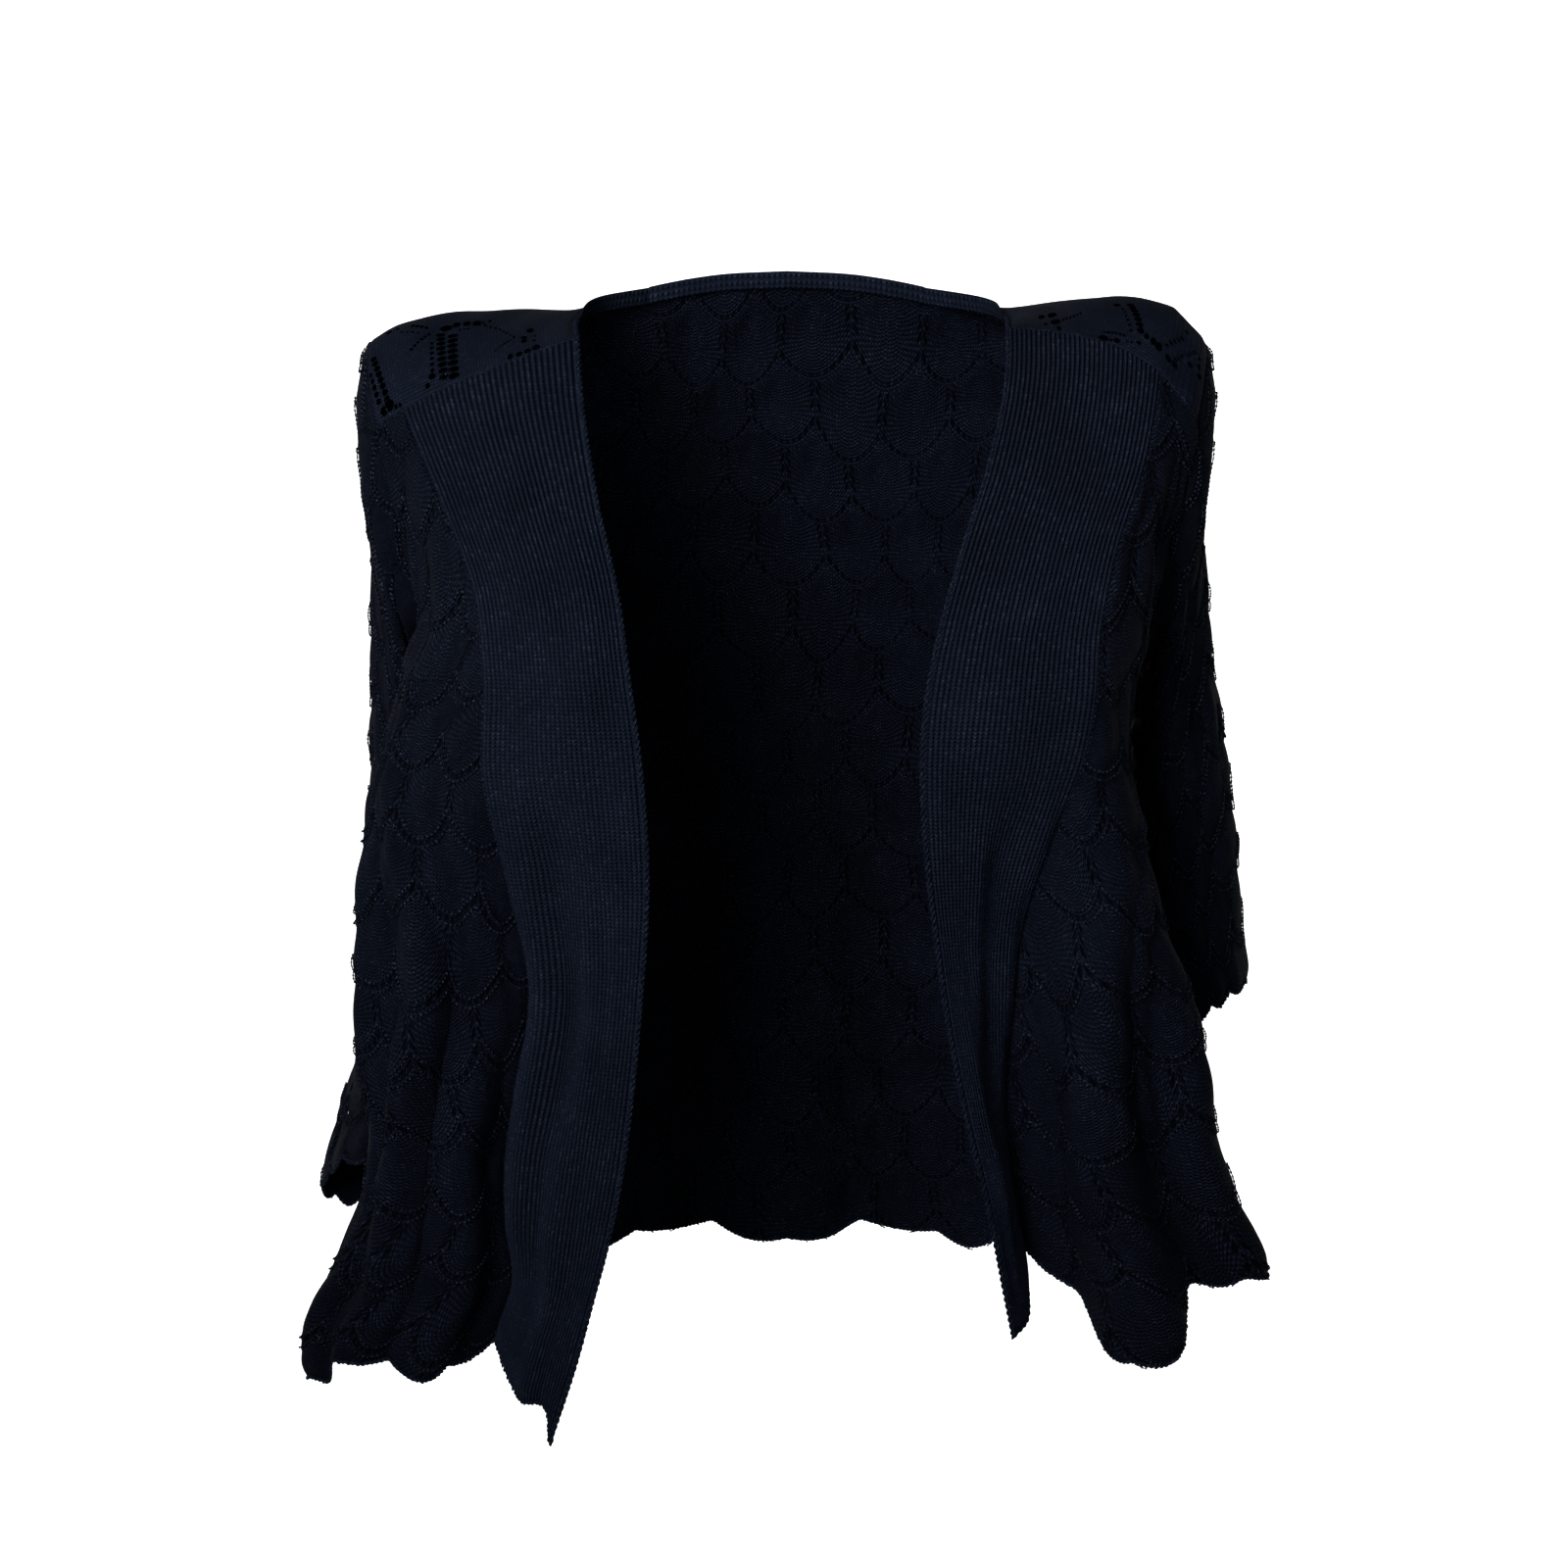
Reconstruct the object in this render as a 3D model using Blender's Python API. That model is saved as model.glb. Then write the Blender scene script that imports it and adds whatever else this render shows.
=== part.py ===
"""Open-front knitted shrug in its worn shape: a hollow, empty garment of ten cloth pieces.

Metres, +Z up. The front faces -Y and the wearer's left is +X. The origin is midway between the two
shoulder tops, where the wearer's shoulders hold the garment up. Every piece is a thin wall. Its inner
face is a grid of points read from the garment's horizontal sections, and its outer face is that grid
moved out by the cloth's thickness, with the ribs or the lace's shells raised on it.
"""

import math

import bmesh
import bpy
import numpy as np
from mathutils import Vector

# Cloth, in metres
SEAM_GAP = 0.0003
SLEEVE_SET_OFF = 0.0005
LACE_WALL = 0.0016
BAND_WALL = 0.0020
EDGE_WALL = 0.0018
SHELL_WIDTH = 0.034
SHELL_HEIGHT = 0.037
SHELL_RISE = 0.0030
SHELL_ROUNDNESS = 0.7
SCALLOP_DROP = 0.005
RIB_RISE = 0.0009
POINTS_A_RIB = 2
RIBS = 28
BAND_CROWN = 0.004
SEAM_SOFTNESS = 0.014

# Grid of each piece
LENGTH_ROWS = 26
LACE_COLUMNS = 16
BAND_COLUMNS = 14
YOKE_LACE_COLUMNS = 2
BACK_NECK_COLUMNS = 4
BACK_YOKE_COLUMNS = 8
SLEEVE_ROWS = 12
PLAN_STEPS = 80

# Armhole: a leaning oval ring, the same on both sides, with x measured outward from the middle
ARMHOLE_X = 0.192
ARMHOLE_LEAN = 0.020
ARMHOLE_Y = 0.008
ARMHOLE_HALF_DEPTH = 0.063
ARMHOLE_Z = -0.094
ARMHOLE_HALF_HEIGHT = 0.080
RING_STEPS = 24
RING_STEP = 2 * math.pi / RING_STEPS
CORNER_STEPS = 4
UNDERARM_STEPS = RING_STEPS // 2
ARMHOLE_ROWS = UNDERARM_STEPS - CORNER_STEPS
SIDE_X = 0.167
RETURN_ACROSS = 0.30
RETURN_DEPTH = 0.62
SIDE_TUCK_Z = -0.200
# The shells lie flat on the front's last rows and columns beside the armhole.
FLAT_ROWS = 11
FLAT_COLUMNS = 3
FLAT_SHARE = 0.0

SIDES = {"right": -1.0, "left": 1.0}

# Front sections, a row for each level: the band's inner edge, the band and lace seam, the middle of
# the lace and the edge of its large front fold. Each x is outward from the middle of the body.
FRONT_COLUMNS = (
    "z", "inner_x", "inner_y", "seam_x", "seam_y", "mid_x", "mid_y", "fold_x", "fold_y",
)
FRONT_SECTIONS = {
    "right": (
        (0.010, 0.106, -0.018, 0.208, -0.022, 0.210, -0.026, 0.212, -0.030),
        (-0.050, 0.099, -0.070, 0.187, -0.054, 0.193, -0.052, 0.198, -0.050),
        (-0.090, 0.091, -0.098, 0.167, -0.087, 0.178, -0.075, 0.189, -0.062),
        (-0.130, 0.081, -0.121, 0.150, -0.110, 0.165, -0.092, 0.177, -0.070),
        (-0.170, 0.075, -0.135, 0.145, -0.121, 0.168, -0.103, 0.184, -0.076),
        (-0.220, 0.069, -0.135, 0.146, -0.117, 0.177, -0.106, 0.200, -0.074),
        (-0.270, 0.067, -0.130, 0.137, -0.104, 0.177, -0.109, 0.206, -0.070),
        (-0.330, 0.071, -0.124, 0.127, -0.092, 0.174, -0.110, 0.208, -0.066),
        (-0.380, 0.076, -0.120, 0.135, -0.090, 0.176, -0.108, 0.206, -0.062),
        (-0.410, 0.080, -0.119, 0.140, -0.086, 0.179, -0.106, 0.204, -0.061),
        (-0.450, 0.088, -0.117, 0.141, -0.080, 0.184, -0.103, 0.211, -0.062),
        (-0.480, 0.096, -0.116, 0.138, -0.076, 0.191, -0.100, 0.224, -0.058),
        (-0.510, 0.104, -0.115, 0.147, -0.076, 0.200, -0.098, 0.238, -0.060),
        (-0.550, 0.117, -0.115, 0.149, -0.078, 0.205, -0.096, 0.240, -0.060),
    ),
    "left": (
        (0.010, 0.110, -0.020, 0.186, -0.028, 0.200, -0.030, 0.208, -0.032),
        (-0.030, 0.108, -0.055, 0.183, -0.052, 0.193, -0.050, 0.202, -0.048),
        (-0.070, 0.098, -0.088, 0.174, -0.078, 0.184, -0.070, 0.193, -0.059),
        (-0.110, 0.084, -0.112, 0.159, -0.101, 0.172, -0.086, 0.184, -0.064),
        (-0.150, 0.072, -0.129, 0.150, -0.116, 0.163, -0.099, 0.175, -0.070),
        (-0.180, 0.066, -0.136, 0.148, -0.121, 0.157, -0.108, 0.162, -0.086),
        (-0.210, 0.064, -0.135, 0.143, -0.120, 0.157, -0.111, 0.163, -0.086),
        (-0.250, 0.066, -0.131, 0.129, -0.108, 0.157, -0.115, 0.174, -0.083),
        (-0.300, 0.072, -0.125, 0.115, -0.092, 0.157, -0.119, 0.186, -0.081),
        (-0.340, 0.078, -0.122, 0.111, -0.084, 0.157, -0.121, 0.197, -0.080),
        (-0.390, 0.088, -0.120, 0.108, -0.079, 0.162, -0.121, 0.207, -0.080),
        (-0.430, 0.098, -0.118, 0.112, -0.075, 0.168, -0.120, 0.217, -0.080),
        (-0.475, 0.107, -0.116, 0.120, -0.073, 0.176, -0.118, 0.234, -0.080),
        (-0.520, 0.116, -0.115, 0.122, -0.073, 0.180, -0.116, 0.240, -0.080),
    ),
}

# Back sections, a row for each level: the corner behind the arm, the quarter and the middle.
BACK_COLUMNS = ("z", "corner_x", "corner_y", "quarter_x", "quarter_y", "middle_y")
BACK_SECTIONS = (
    (0.020, 0.150, 0.052, 0.080, 0.057, 0.063),
    (-0.020, 0.163, 0.062, 0.090, 0.076, 0.084),
    (-0.050, 0.168, 0.074, 0.097, 0.090, 0.095),
    (-0.100, 0.162, 0.084, 0.100, 0.102, 0.104),
    (-0.150, 0.158, 0.080, 0.100, 0.105, 0.107),
    (-0.250, 0.153, 0.069, 0.099, 0.100, 0.100),
    (-0.350, 0.154, 0.065, 0.100, 0.098, 0.096),
    (-0.430, 0.157, 0.066, 0.103, 0.100, 0.098),
    (-0.520, 0.162, 0.070, 0.106, 0.106, 0.102),
)

# Levels of the top and hem edges, by share of the way across each piece. A band's share runs from
# its inner edge to the seam, a front's from the seam to the side and the back's from its middle out.
EDGE_COLUMNS = ("share", "z")
BAND_TOPS = {
    "right": ((0.0, -0.011), (0.6, -0.031), (1.0, -0.046)),
    "left": ((0.0, -0.006), (0.5, -0.011), (0.75, -0.017), (1.0, -0.028)),
}
BAND_HEMS = {
    "right": ((0.0, -0.552), (0.07, -0.543), (0.5, -0.534), (0.8, -0.522), (1.0, -0.511)),
    "left": ((0.0, -0.497), (0.5, -0.492), (0.8, -0.480), (1.0, -0.460)),
}
FRONT_HEMS = {
    "right": (
        (0.0, -0.511), (0.15, -0.519), (0.36, -0.515), (0.46, -0.531), (0.53, -0.534),
        (0.60, -0.518), (0.68, -0.508), (0.8, -0.505), (1.0, -0.498),
    ),
    "left": (
        (0.0, -0.462), (0.10, -0.476), (0.18, -0.498), (0.25, -0.507), (0.31, -0.500),
        (0.38, -0.474), (0.48, -0.474), (0.58, -0.470), (0.8, -0.486), (1.0, -0.498),
    ),
}
BACK_TOP = (
    (0.0, 0.0175), (0.18, 0.0155), (0.36, 0.009), (0.55, -0.002), (0.75, -0.016), (0.9, -0.032),
    (1.0, -0.054),
)
BACK_HEM = ((0.0, -0.506), (0.2, -0.500), (0.42, -0.509), (0.62, -0.502), (0.82, -0.508), (1.0, -0.498))
BACK_NECK_SHARE = 0.36

# Soft folds, a row for each: its share across the piece at its top and at its foot, its levels, its
# half-width as a share and how far it stands out. A negative rise is a trough.
FOLD_COLUMNS = ("share_top", "share_foot", "z_top", "z_foot", "half_width", "rise")
FRONT_FOLDS = {
    "right": (
        (0.44, 0.56, -0.27, -0.60, 0.065, 0.008),
        (0.36, 0.47, -0.28, -0.60, 0.060, -0.006),
        (0.27, 0.39, -0.26, -0.60, 0.060, 0.010),
        (0.18, 0.30, -0.26, -0.60, 0.055, -0.007),
        (0.10, 0.20, -0.30, -0.60, 0.060, 0.010),
        (0.30, 0.30, -0.08, -0.30, 0.110, 0.004),
    ),
    "left": (
        (0.20, 0.30, -0.24, -0.60, 0.075, 0.010),
        (0.34, 0.46, -0.26, -0.60, 0.070, -0.010),
        (0.46, 0.58, -0.26, -0.60, 0.065, 0.007),
        (0.08, 0.14, -0.30, -0.52, 0.055, -0.005),
        (0.35, 0.35, -0.05, -0.22, 0.120, 0.003),
    ),
}
BAND_FOLDS = {
    "right": ((0.62, 0.55, -0.20, -0.42, 0.16, -0.005), (0.85, 0.80, -0.22, -0.50, 0.12, 0.005)),
    "left": ((0.70, 0.50, -0.20, -0.42, 0.16, -0.005),),
}
# The back's share runs from its right side to its left side.
BACK_FOLDS = (
    (0.13, 0.11, -0.22, -0.60, 0.045, 0.008),
    (0.24, 0.25, -0.26, -0.60, 0.050, -0.007),
    (0.37, 0.36, -0.20, -0.60, 0.050, 0.009),
    (0.50, 0.49, -0.28, -0.60, 0.055, -0.008),
    (0.62, 0.64, -0.22, -0.60, 0.050, 0.008),
    (0.75, 0.74, -0.25, -0.60, 0.045, -0.006),
    (0.87, 0.88, -0.20, -0.60, 0.045, 0.008),
)
# How much wider than its half-width a fold runs out, the shares of its length over which it grows
# and dies away, and the share of the piece beside each seam where folds fade.
FOLD_SPREAD = 1.6
FOLD_START = 0.35
FOLD_END = 0.25
FOLD_FADE = 0.08

# Sleeves, a row for each ring: its share of the length, its outer and inner ends, its middle, its
# half depth, and how far its back hangs below its front and lies further out.
SLEEVE_COLUMNS = (
    "share", "outer_x", "outer_z", "inner_x", "inner_z", "middle_y", "half_depth", "back_drop",
    "back_out",
)
SLEEVE_RINGS = {
    "right": (
        (0.00, 0.2120, -0.014, 0.172, -0.174, 0.008, 0.063, 0.000, 0.000),
        (0.07, 0.2160, -0.038, 0.186, -0.182, 0.012, 0.061, 0.000, 0.000),
        (0.16, 0.2145, -0.070, 0.184, -0.201, 0.017, 0.059, 0.000, 0.000),
        (0.28, 0.2110, -0.118, 0.182, -0.232, 0.025, 0.054, 0.001, 0.002),
        (0.42, 0.2140, -0.180, 0.181, -0.272, 0.032, 0.051, 0.004, 0.004),
        (0.58, 0.2170, -0.252, 0.181, -0.325, 0.038, 0.050, 0.014, 0.008),
        (0.74, 0.2180, -0.325, 0.183, -0.378, 0.043, 0.052, 0.028, 0.016),
        (0.88, 0.2290, -0.400, 0.187, -0.428, 0.048, 0.056, 0.042, 0.028),
        (1.00, 0.2470, -0.456, 0.196, -0.468, 0.052, 0.060, 0.056, 0.038),
    ),
    "left": (
        (0.00, 0.2120, -0.014, 0.172, -0.174, 0.008, 0.063, 0.000, 0.000),
        (0.09, 0.2150, -0.037, 0.185, -0.182, 0.012, 0.061, 0.000, 0.000),
        (0.20, 0.2120, -0.068, 0.183, -0.199, 0.017, 0.059, 0.000, 0.000),
        (0.34, 0.2115, -0.112, 0.182, -0.222, 0.025, 0.055, 0.000, 0.000),
        (0.50, 0.2170, -0.165, 0.182, -0.252, 0.030, 0.054, 0.002, 0.002),
        (0.66, 0.2270, -0.225, 0.184, -0.290, 0.032, 0.057, 0.006, 0.004),
        (0.82, 0.2340, -0.282, 0.190, -0.330, 0.037, 0.059, 0.011, 0.006),
        (0.92, 0.2375, -0.318, 0.197, -0.352, 0.040, 0.061, 0.015, 0.008),
        (1.00, 0.2430, -0.346, 0.204, -0.372, 0.043, 0.063, 0.018, 0.010),
    ),
}
# Long soft folds down a sleeve: where they are round it in degrees from its outer side towards the
# front, half-width in degrees, and rise.
SLEEVE_FOLD_COLUMNS = ("angle", "half_width", "rise")
SLEEVE_FOLDS = ((35, 22, 0.004), (75, 20, -0.004), (-40, 25, 0.005), (-85, 24, -0.005), (-130, 25, 0.004))
SLEEVE_FOLD_START = 0.1
SLEEVE_FOLD_FULL = 0.6

# Yoke: the neck edge from the band's corner to the back seam, seen from above the shoulder, and the
# places of its eyelets, as (row, column) cells of its grid.
NECK_COLUMNS = ("share", "x", "y", "z")
NECK_EDGES = {
    "right": ((0.35, 0.1065, 0.004, -0.003), (0.7, 0.0990, 0.038, 0.004)),
    "left": ((0.35, 0.1110, 0.004, -0.001), (0.7, 0.1020, 0.038, 0.004)),
}
RUNG_SHARE = 0.025
FINE_ROWS = 10
COARSE_YOKE_ROWS = (0.375, 0.5, 0.625, 0.75, 0.875, 1.0)
EYELET_SHARE = 0.70
LADDER_COLUMNS = {"right": (11, 12, 15), "left": (12, 13)}
LADDER_ROWS = {"right": (0, 10), "left": (1, 10)}
LARGE_EYELETS = {"right": (), "left": ((8, 4), (9, 5), (8, 6))}

# Neck edge strip
STRIP_HEIGHT = 0.006
STRIP_LEAN = 0.25
STRIP_SINK = 0.0005
STRIP_ROWS = (10, 11, 12, 13, 14, 15)

# Colours and finish
KNIT_COLOUR = (0.010, 0.011, 0.017, 1.0)
KNIT_ROUGHNESS = 0.75


def read(names, rows):
    """A table's columns, by name."""
    return dict(zip(names, np.array(rows, float).T))


def smooth(knots, values, at):
    """A smooth curve through values at rising knots, read at any places."""
    knots = np.asarray(knots, float)
    values = np.asarray(values, float)
    steps = np.diff(knots)
    slopes = np.diff(values) / steps
    tangents = np.empty_like(values)
    tangents[1:-1] = (slopes[:-1] * steps[1:] + slopes[1:] * steps[:-1]) / (steps[:-1] + steps[1:])
    tangents[0] = slopes[0]
    tangents[-1] = slopes[-1]
    at = np.clip(at, knots[0], knots[-1])
    k = np.clip(np.searchsorted(knots, at) - 1, 0, len(knots) - 2)
    h = steps[k]
    t = (at - knots[k]) / h
    return (
        (2 * t**3 - 3 * t**2 + 1) * values[k]
        + (t**3 - 2 * t**2 + t) * h * tangents[k]
        + (3 * t**2 - 2 * t**3) * values[k + 1]
        + (t**3 - t**2) * h * tangents[k + 1]
    )


def ease(low, high, value):
    """0 below low, 1 above high, and smooth between them."""
    t = np.clip((value - low) / (high - low), 0, 1)
    return t * t * (3 - 2 * t)


def by_level(table, name, z):
    """A column of a table of sections, read at a level. The tables run downward."""
    return smooth(table["z"][::-1], table[name][::-1], z)


def ring_point(angle):
    """A point of the armhole, its x outward. The angle runs from the top towards the front."""
    return np.array(
        [
            ARMHOLE_X + ARMHOLE_LEAN * math.cos(angle),
            ARMHOLE_Y - ARMHOLE_HALF_DEPTH * math.sin(angle),
            ARMHOLE_Z + ARMHOLE_HALF_HEIGHT * math.cos(angle),
        ]
    )


def side_point(z, facing):
    """The outer end of a body section: the armhole above the underarm, the side seam below it.
    facing is 1 on the front and -1 on the back."""
    underarm = ARMHOLE_Z - ARMHOLE_HALF_HEIGHT
    corner = ring_point(CORNER_STEPS * RING_STEP)[2]
    if z <= underarm:
        tuck = float(ease(underarm, SIDE_TUCK_Z, z))
        x = ARMHOLE_X - ARMHOLE_LEAN
        return x + (SIDE_X - x) * tuck, ARMHOLE_Y
    angle = math.acos((min(z, corner) - ARMHOLE_Z) / ARMHOLE_HALF_HEIGHT)
    x, y, _ = ring_point(facing * angle)
    return x, y


def along(stations, share):
    """The point and the outward direction at a share of the length of a smooth curve in plan, which
    runs from the front edge round to the back with the cloth's outer face on its right."""
    stations = np.array(stations)
    knots = np.concatenate([[0], np.cumsum(np.linalg.norm(np.diff(stations, axis=0), axis=1))])
    places = np.linspace(0, knots[-1], PLAN_STEPS + 1)
    curve = np.stack([smooth(knots, stations[:, k], places) for k in (0, 1)], axis=1)
    lengths = np.concatenate([[0], np.cumsum(np.linalg.norm(np.diff(curve, axis=0), axis=1))])
    at = share * lengths[-1]
    point = np.array([np.interp(at, lengths, curve[:, k]) for k in (0, 1)])
    step = lengths[-1] / PLAN_STEPS
    ahead, behind = (
        np.array([np.interp(at + d, lengths, curve[:, k]) for k in (0, 1)]) for d in (step, -step)
    )
    run = ahead - behind
    out = np.array([run[1], -run[0]]) / max(np.linalg.norm(run), 1e-9)
    return point, out, lengths[-1]


def fold_rise(folds, share, z):
    """How far the soft folds of a table push the cloth out."""
    rise = 0.0
    for row in folds:
        fold = dict(zip(FOLD_COLUMNS, row))
        down = (fold["z_top"] - z) / (fold["z_top"] - fold["z_foot"])
        middle = fold["share_top"] + (fold["share_foot"] - fold["share_top"]) * down
        near = max(0.0, 1 - ((share - middle) / (FOLD_SPREAD * fold["half_width"])) ** 2) ** 2
        start = float(ease(0, FOLD_START, down))
        end = float(ease(0, FOLD_END, 1 - down))
        rise += fold["rise"] * near * start * end
    sides = float(ease(0, FOLD_FADE, share) * ease(0, FOLD_FADE, 1 - share))
    return rise * sides


def shell_rise(across, down):
    """The lace's staggered shells: rounded scales, each a little over the one below it."""
    row = math.floor(down / SHELL_HEIGHT)
    shift = 0.5 * (row % 2)
    u = 2 * ((across / SHELL_WIDTH + shift) % 1) - 1
    v = 2 * ((down / SHELL_HEIGHT) % 1) - 1
    return SHELL_RISE * max(0.0, 1 - u * u) * max(0.0, 1 - v * v) ** SHELL_ROUNDNESS


def row_shares(top, hem):
    """The share of the way down of each row at the outer edge, which follows the armhole's steps."""
    rings = [ring_point((CORNER_STEPS + k) * RING_STEP)[2] for k in range(ARMHOLE_ROWS + 1)]
    below = np.linspace(rings[-1], hem, LENGTH_ROWS - ARMHOLE_ROWS + 1)[1:]
    return (top - np.concatenate([rings, below])) / (top - hem)


def edge_level(rows, share):
    table = read(EDGE_COLUMNS, rows)
    return float(np.interp(share, table["share"], table["z"]))


def band_points(side):
    """The inner face of a front band, from its inner edge to the lace, with all its rib columns."""
    table = read(FRONT_COLUMNS, FRONT_SECTIONS[side])
    rows = LENGTH_ROWS // 2
    columns = RIBS * POINTS_A_RIB
    points = np.empty((rows + 1, columns + 1, 3))
    for i in range(rows + 1):
        for j in range(columns + 1):
            share = j / columns
            top = edge_level(BAND_TOPS[side], share)
            hem = edge_level(BAND_HEMS[side], share)
            z = top + (hem - top) * i / rows
            inner = np.array([by_level(table, name, z) for name in ("inner_x", "inner_y")])
            seam = np.array([by_level(table, name, z) for name in ("seam_x", "seam_y")])
            run = seam - inner
            crown = BAND_CROWN * np.array([run[1], -run[0]]) / np.linalg.norm(run)
            plan, out, _ = along([inner, (inner + seam) / 2 + crown, seam], share)
            plan = plan + out * fold_rise(BAND_FOLDS[side], share, z)
            points[i, j] = (*plan, z)
    return points


def front_points(side):
    """The inner face of a lace front, from the band's seam to the armhole and side seam, and how
    high its shells stand at each point."""
    table = read(FRONT_COLUMNS, FRONT_SECTIONS[side])
    top_seam = BAND_TOPS[side][-1][1]
    corner = ring_point(CORNER_STEPS * RING_STEP)[2]
    side_shares = row_shares(corner, FRONT_HEMS[side][-1][1])
    underarm = np.array(side_point(ARMHOLE_Z - ARMHOLE_HALF_HEIGHT, 1))
    points = np.empty((LENGTH_ROWS + 1, LACE_COLUMNS + 1, 3))
    rises = np.zeros((LENGTH_ROWS + 1, LACE_COLUMNS + 1))
    for i in range(LENGTH_ROWS + 1):
        for j in range(LACE_COLUMNS + 1):
            share = j / LACE_COLUMNS
            top = top_seam + (corner - top_seam) * share
            hem = edge_level(FRONT_HEMS[side], share)
            down = i / LENGTH_ROWS * (1 - share) + side_shares[i] * share
            if i == LENGTH_ROWS and 0 < j < LACE_COLUMNS:
                hem -= SCALLOP_DROP * (j % 2)
            z = top + (hem - top) * down
            stations = [
                [by_level(table, name + axis, z) for axis in ("_x", "_y")]
                for name in ("seam", "mid", "fold")
            ]
            edge = np.array(side_point(z, 1))
            fold = np.array(stations[-1])
            behind = edge + (fold - edge) * (RETURN_ACROSS, RETURN_DEPTH)
            plan, out, length = along([*stations, behind, edge], share)
            plan = plan + out * fold_rise(FRONT_FOLDS[side], share, z)
            points[i, j] = (*plan, z)
            across = (1 - share) * length + np.linalg.norm(edge - underarm)
            rises[i, j] = shell_rise(across, -z)
    # The band has every second row, so its long edge is straight between them.
    points[1:-1:2, 0] = (points[0:-2:2, 0] + points[2::2, 0]) / 2
    rises[:, (0, -1)] = 0
    rises[:FLAT_ROWS, -FLAT_COLUMNS:] *= FLAT_SHARE
    rises[(0, -1), :] = 0
    return points, rises


def back_points():
    """The inner face of the back, from its right side round to its left side, and its shells."""
    table = read(BACK_COLUMNS, BACK_SECTIONS)
    corner = ring_point(CORNER_STEPS * RING_STEP)[2]
    side_shares = row_shares(corner, BACK_HEM[-1][1])
    half = np.concatenate(
        [
            np.linspace(0, BACK_NECK_SHARE, BACK_NECK_COLUMNS + 1),
            np.linspace(BACK_NECK_SHARE, 1, BACK_YOKE_COLUMNS + 1)[1:],
        ]
    )
    shares = np.concatenate([-half[::-1], half[1:]])
    columns = len(shares)
    points = np.empty((LENGTH_ROWS + 1, columns, 3))
    rises = np.zeros((LENGTH_ROWS + 1, columns))
    for i in range(LENGTH_ROWS + 1):
        for j, share in enumerate(shares):
            reach = abs(share)
            top = edge_level(BACK_TOP, reach)
            hem = edge_level(BACK_HEM, reach)
            if i == LENGTH_ROWS and reach < 1:
                hem -= SCALLOP_DROP * (j % 2)
            down = i / LENGTH_ROWS * (1 - reach) + side_shares[i] * reach
            z = top + (hem - top) * down
            edge = side_point(z, -1)
            right = [edge] + [
                [by_level(table, name + axis, z) for axis in ("_x", "_y")]
                for name in ("corner", "quarter")
            ]
            middle = [0, by_level(table, "middle_y", z)]
            stations = [*right, middle, *[[-x, y] for x, y in right[::-1]]]
            # The section runs from the wearer's left to the right, with its outer face behind.
            plan, out, length = along(stations, (1 - share) / 2)
            plan = plan + out * fold_rise(BACK_FOLDS, (share + 1) / 2, z)
            points[i, j] = (*plan, z)
            rises[i, j] = shell_rise(share * length / 2, -z)
    rises[:, (0, -1)] = 0
    rises[(0, -1), :] = 0
    return points, rises


def sleeve_points(side):
    """The inner face of a sleeve, ring by ring from the armhole to the cuff, and its shells."""
    table = read(SLEEVE_COLUMNS, SLEEVE_RINGS[side])
    points = np.empty((SLEEVE_ROWS + 1, RING_STEPS, 3))
    rises = np.zeros((SLEEVE_ROWS + 1, RING_STEPS))
    for i in range(SLEEVE_ROWS + 1):
        share = i / SLEEVE_ROWS
        ring = {name: float(smooth(table["share"], table[name], share)) for name in SLEEVE_COLUMNS}
        outer = np.array([ring["outer_x"], ring["middle_y"], ring["outer_z"]])
        inner = np.array([ring["inner_x"], ring["middle_y"], ring["inner_z"]])
        front = np.array([-ring["back_out"] / 2, -ring["half_depth"], ring["back_drop"] / 2])
        for j in range(RING_STEPS):
            angle = j * RING_STEP
            turn = math.degrees(angle + math.pi) % 360 - 180
            push = 0.0
            for row in SLEEVE_FOLDS:
                fold = dict(zip(SLEEVE_FOLD_COLUMNS, row))
                off = (turn - fold["angle"]) / (FOLD_SPREAD * fold["half_width"])
                push += fold["rise"] * max(0.0, 1 - off * off) ** 2
            push *= float(ease(SLEEVE_FOLD_START, SLEEVE_FOLD_FULL, share))
            middle = (outer + inner) / 2
            reach = (outer - middle) * math.cos(angle) + front * math.sin(angle)
            away = reach / np.linalg.norm(reach)
            points[i, j] = middle + reach + away * push
            # A sleeve's shells are two columns wide, and each row of them is set one column on.
            rises[i, j] = SHELL_RISE * ((i + j) % 2)
            if i == SLEEVE_ROWS:
                points[i, j, 2] -= SCALLOP_DROP * (j % 2)
    rises[(0, -1), :] = 0
    return points, rises


def yoke_shares():
    """How far back each row of a yoke lies, from its forward seam to its back seam."""
    return np.array([k * RUNG_SHARE for k in range(FINE_ROWS + 1)] + list(COARSE_YOKE_ROWS))


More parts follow.
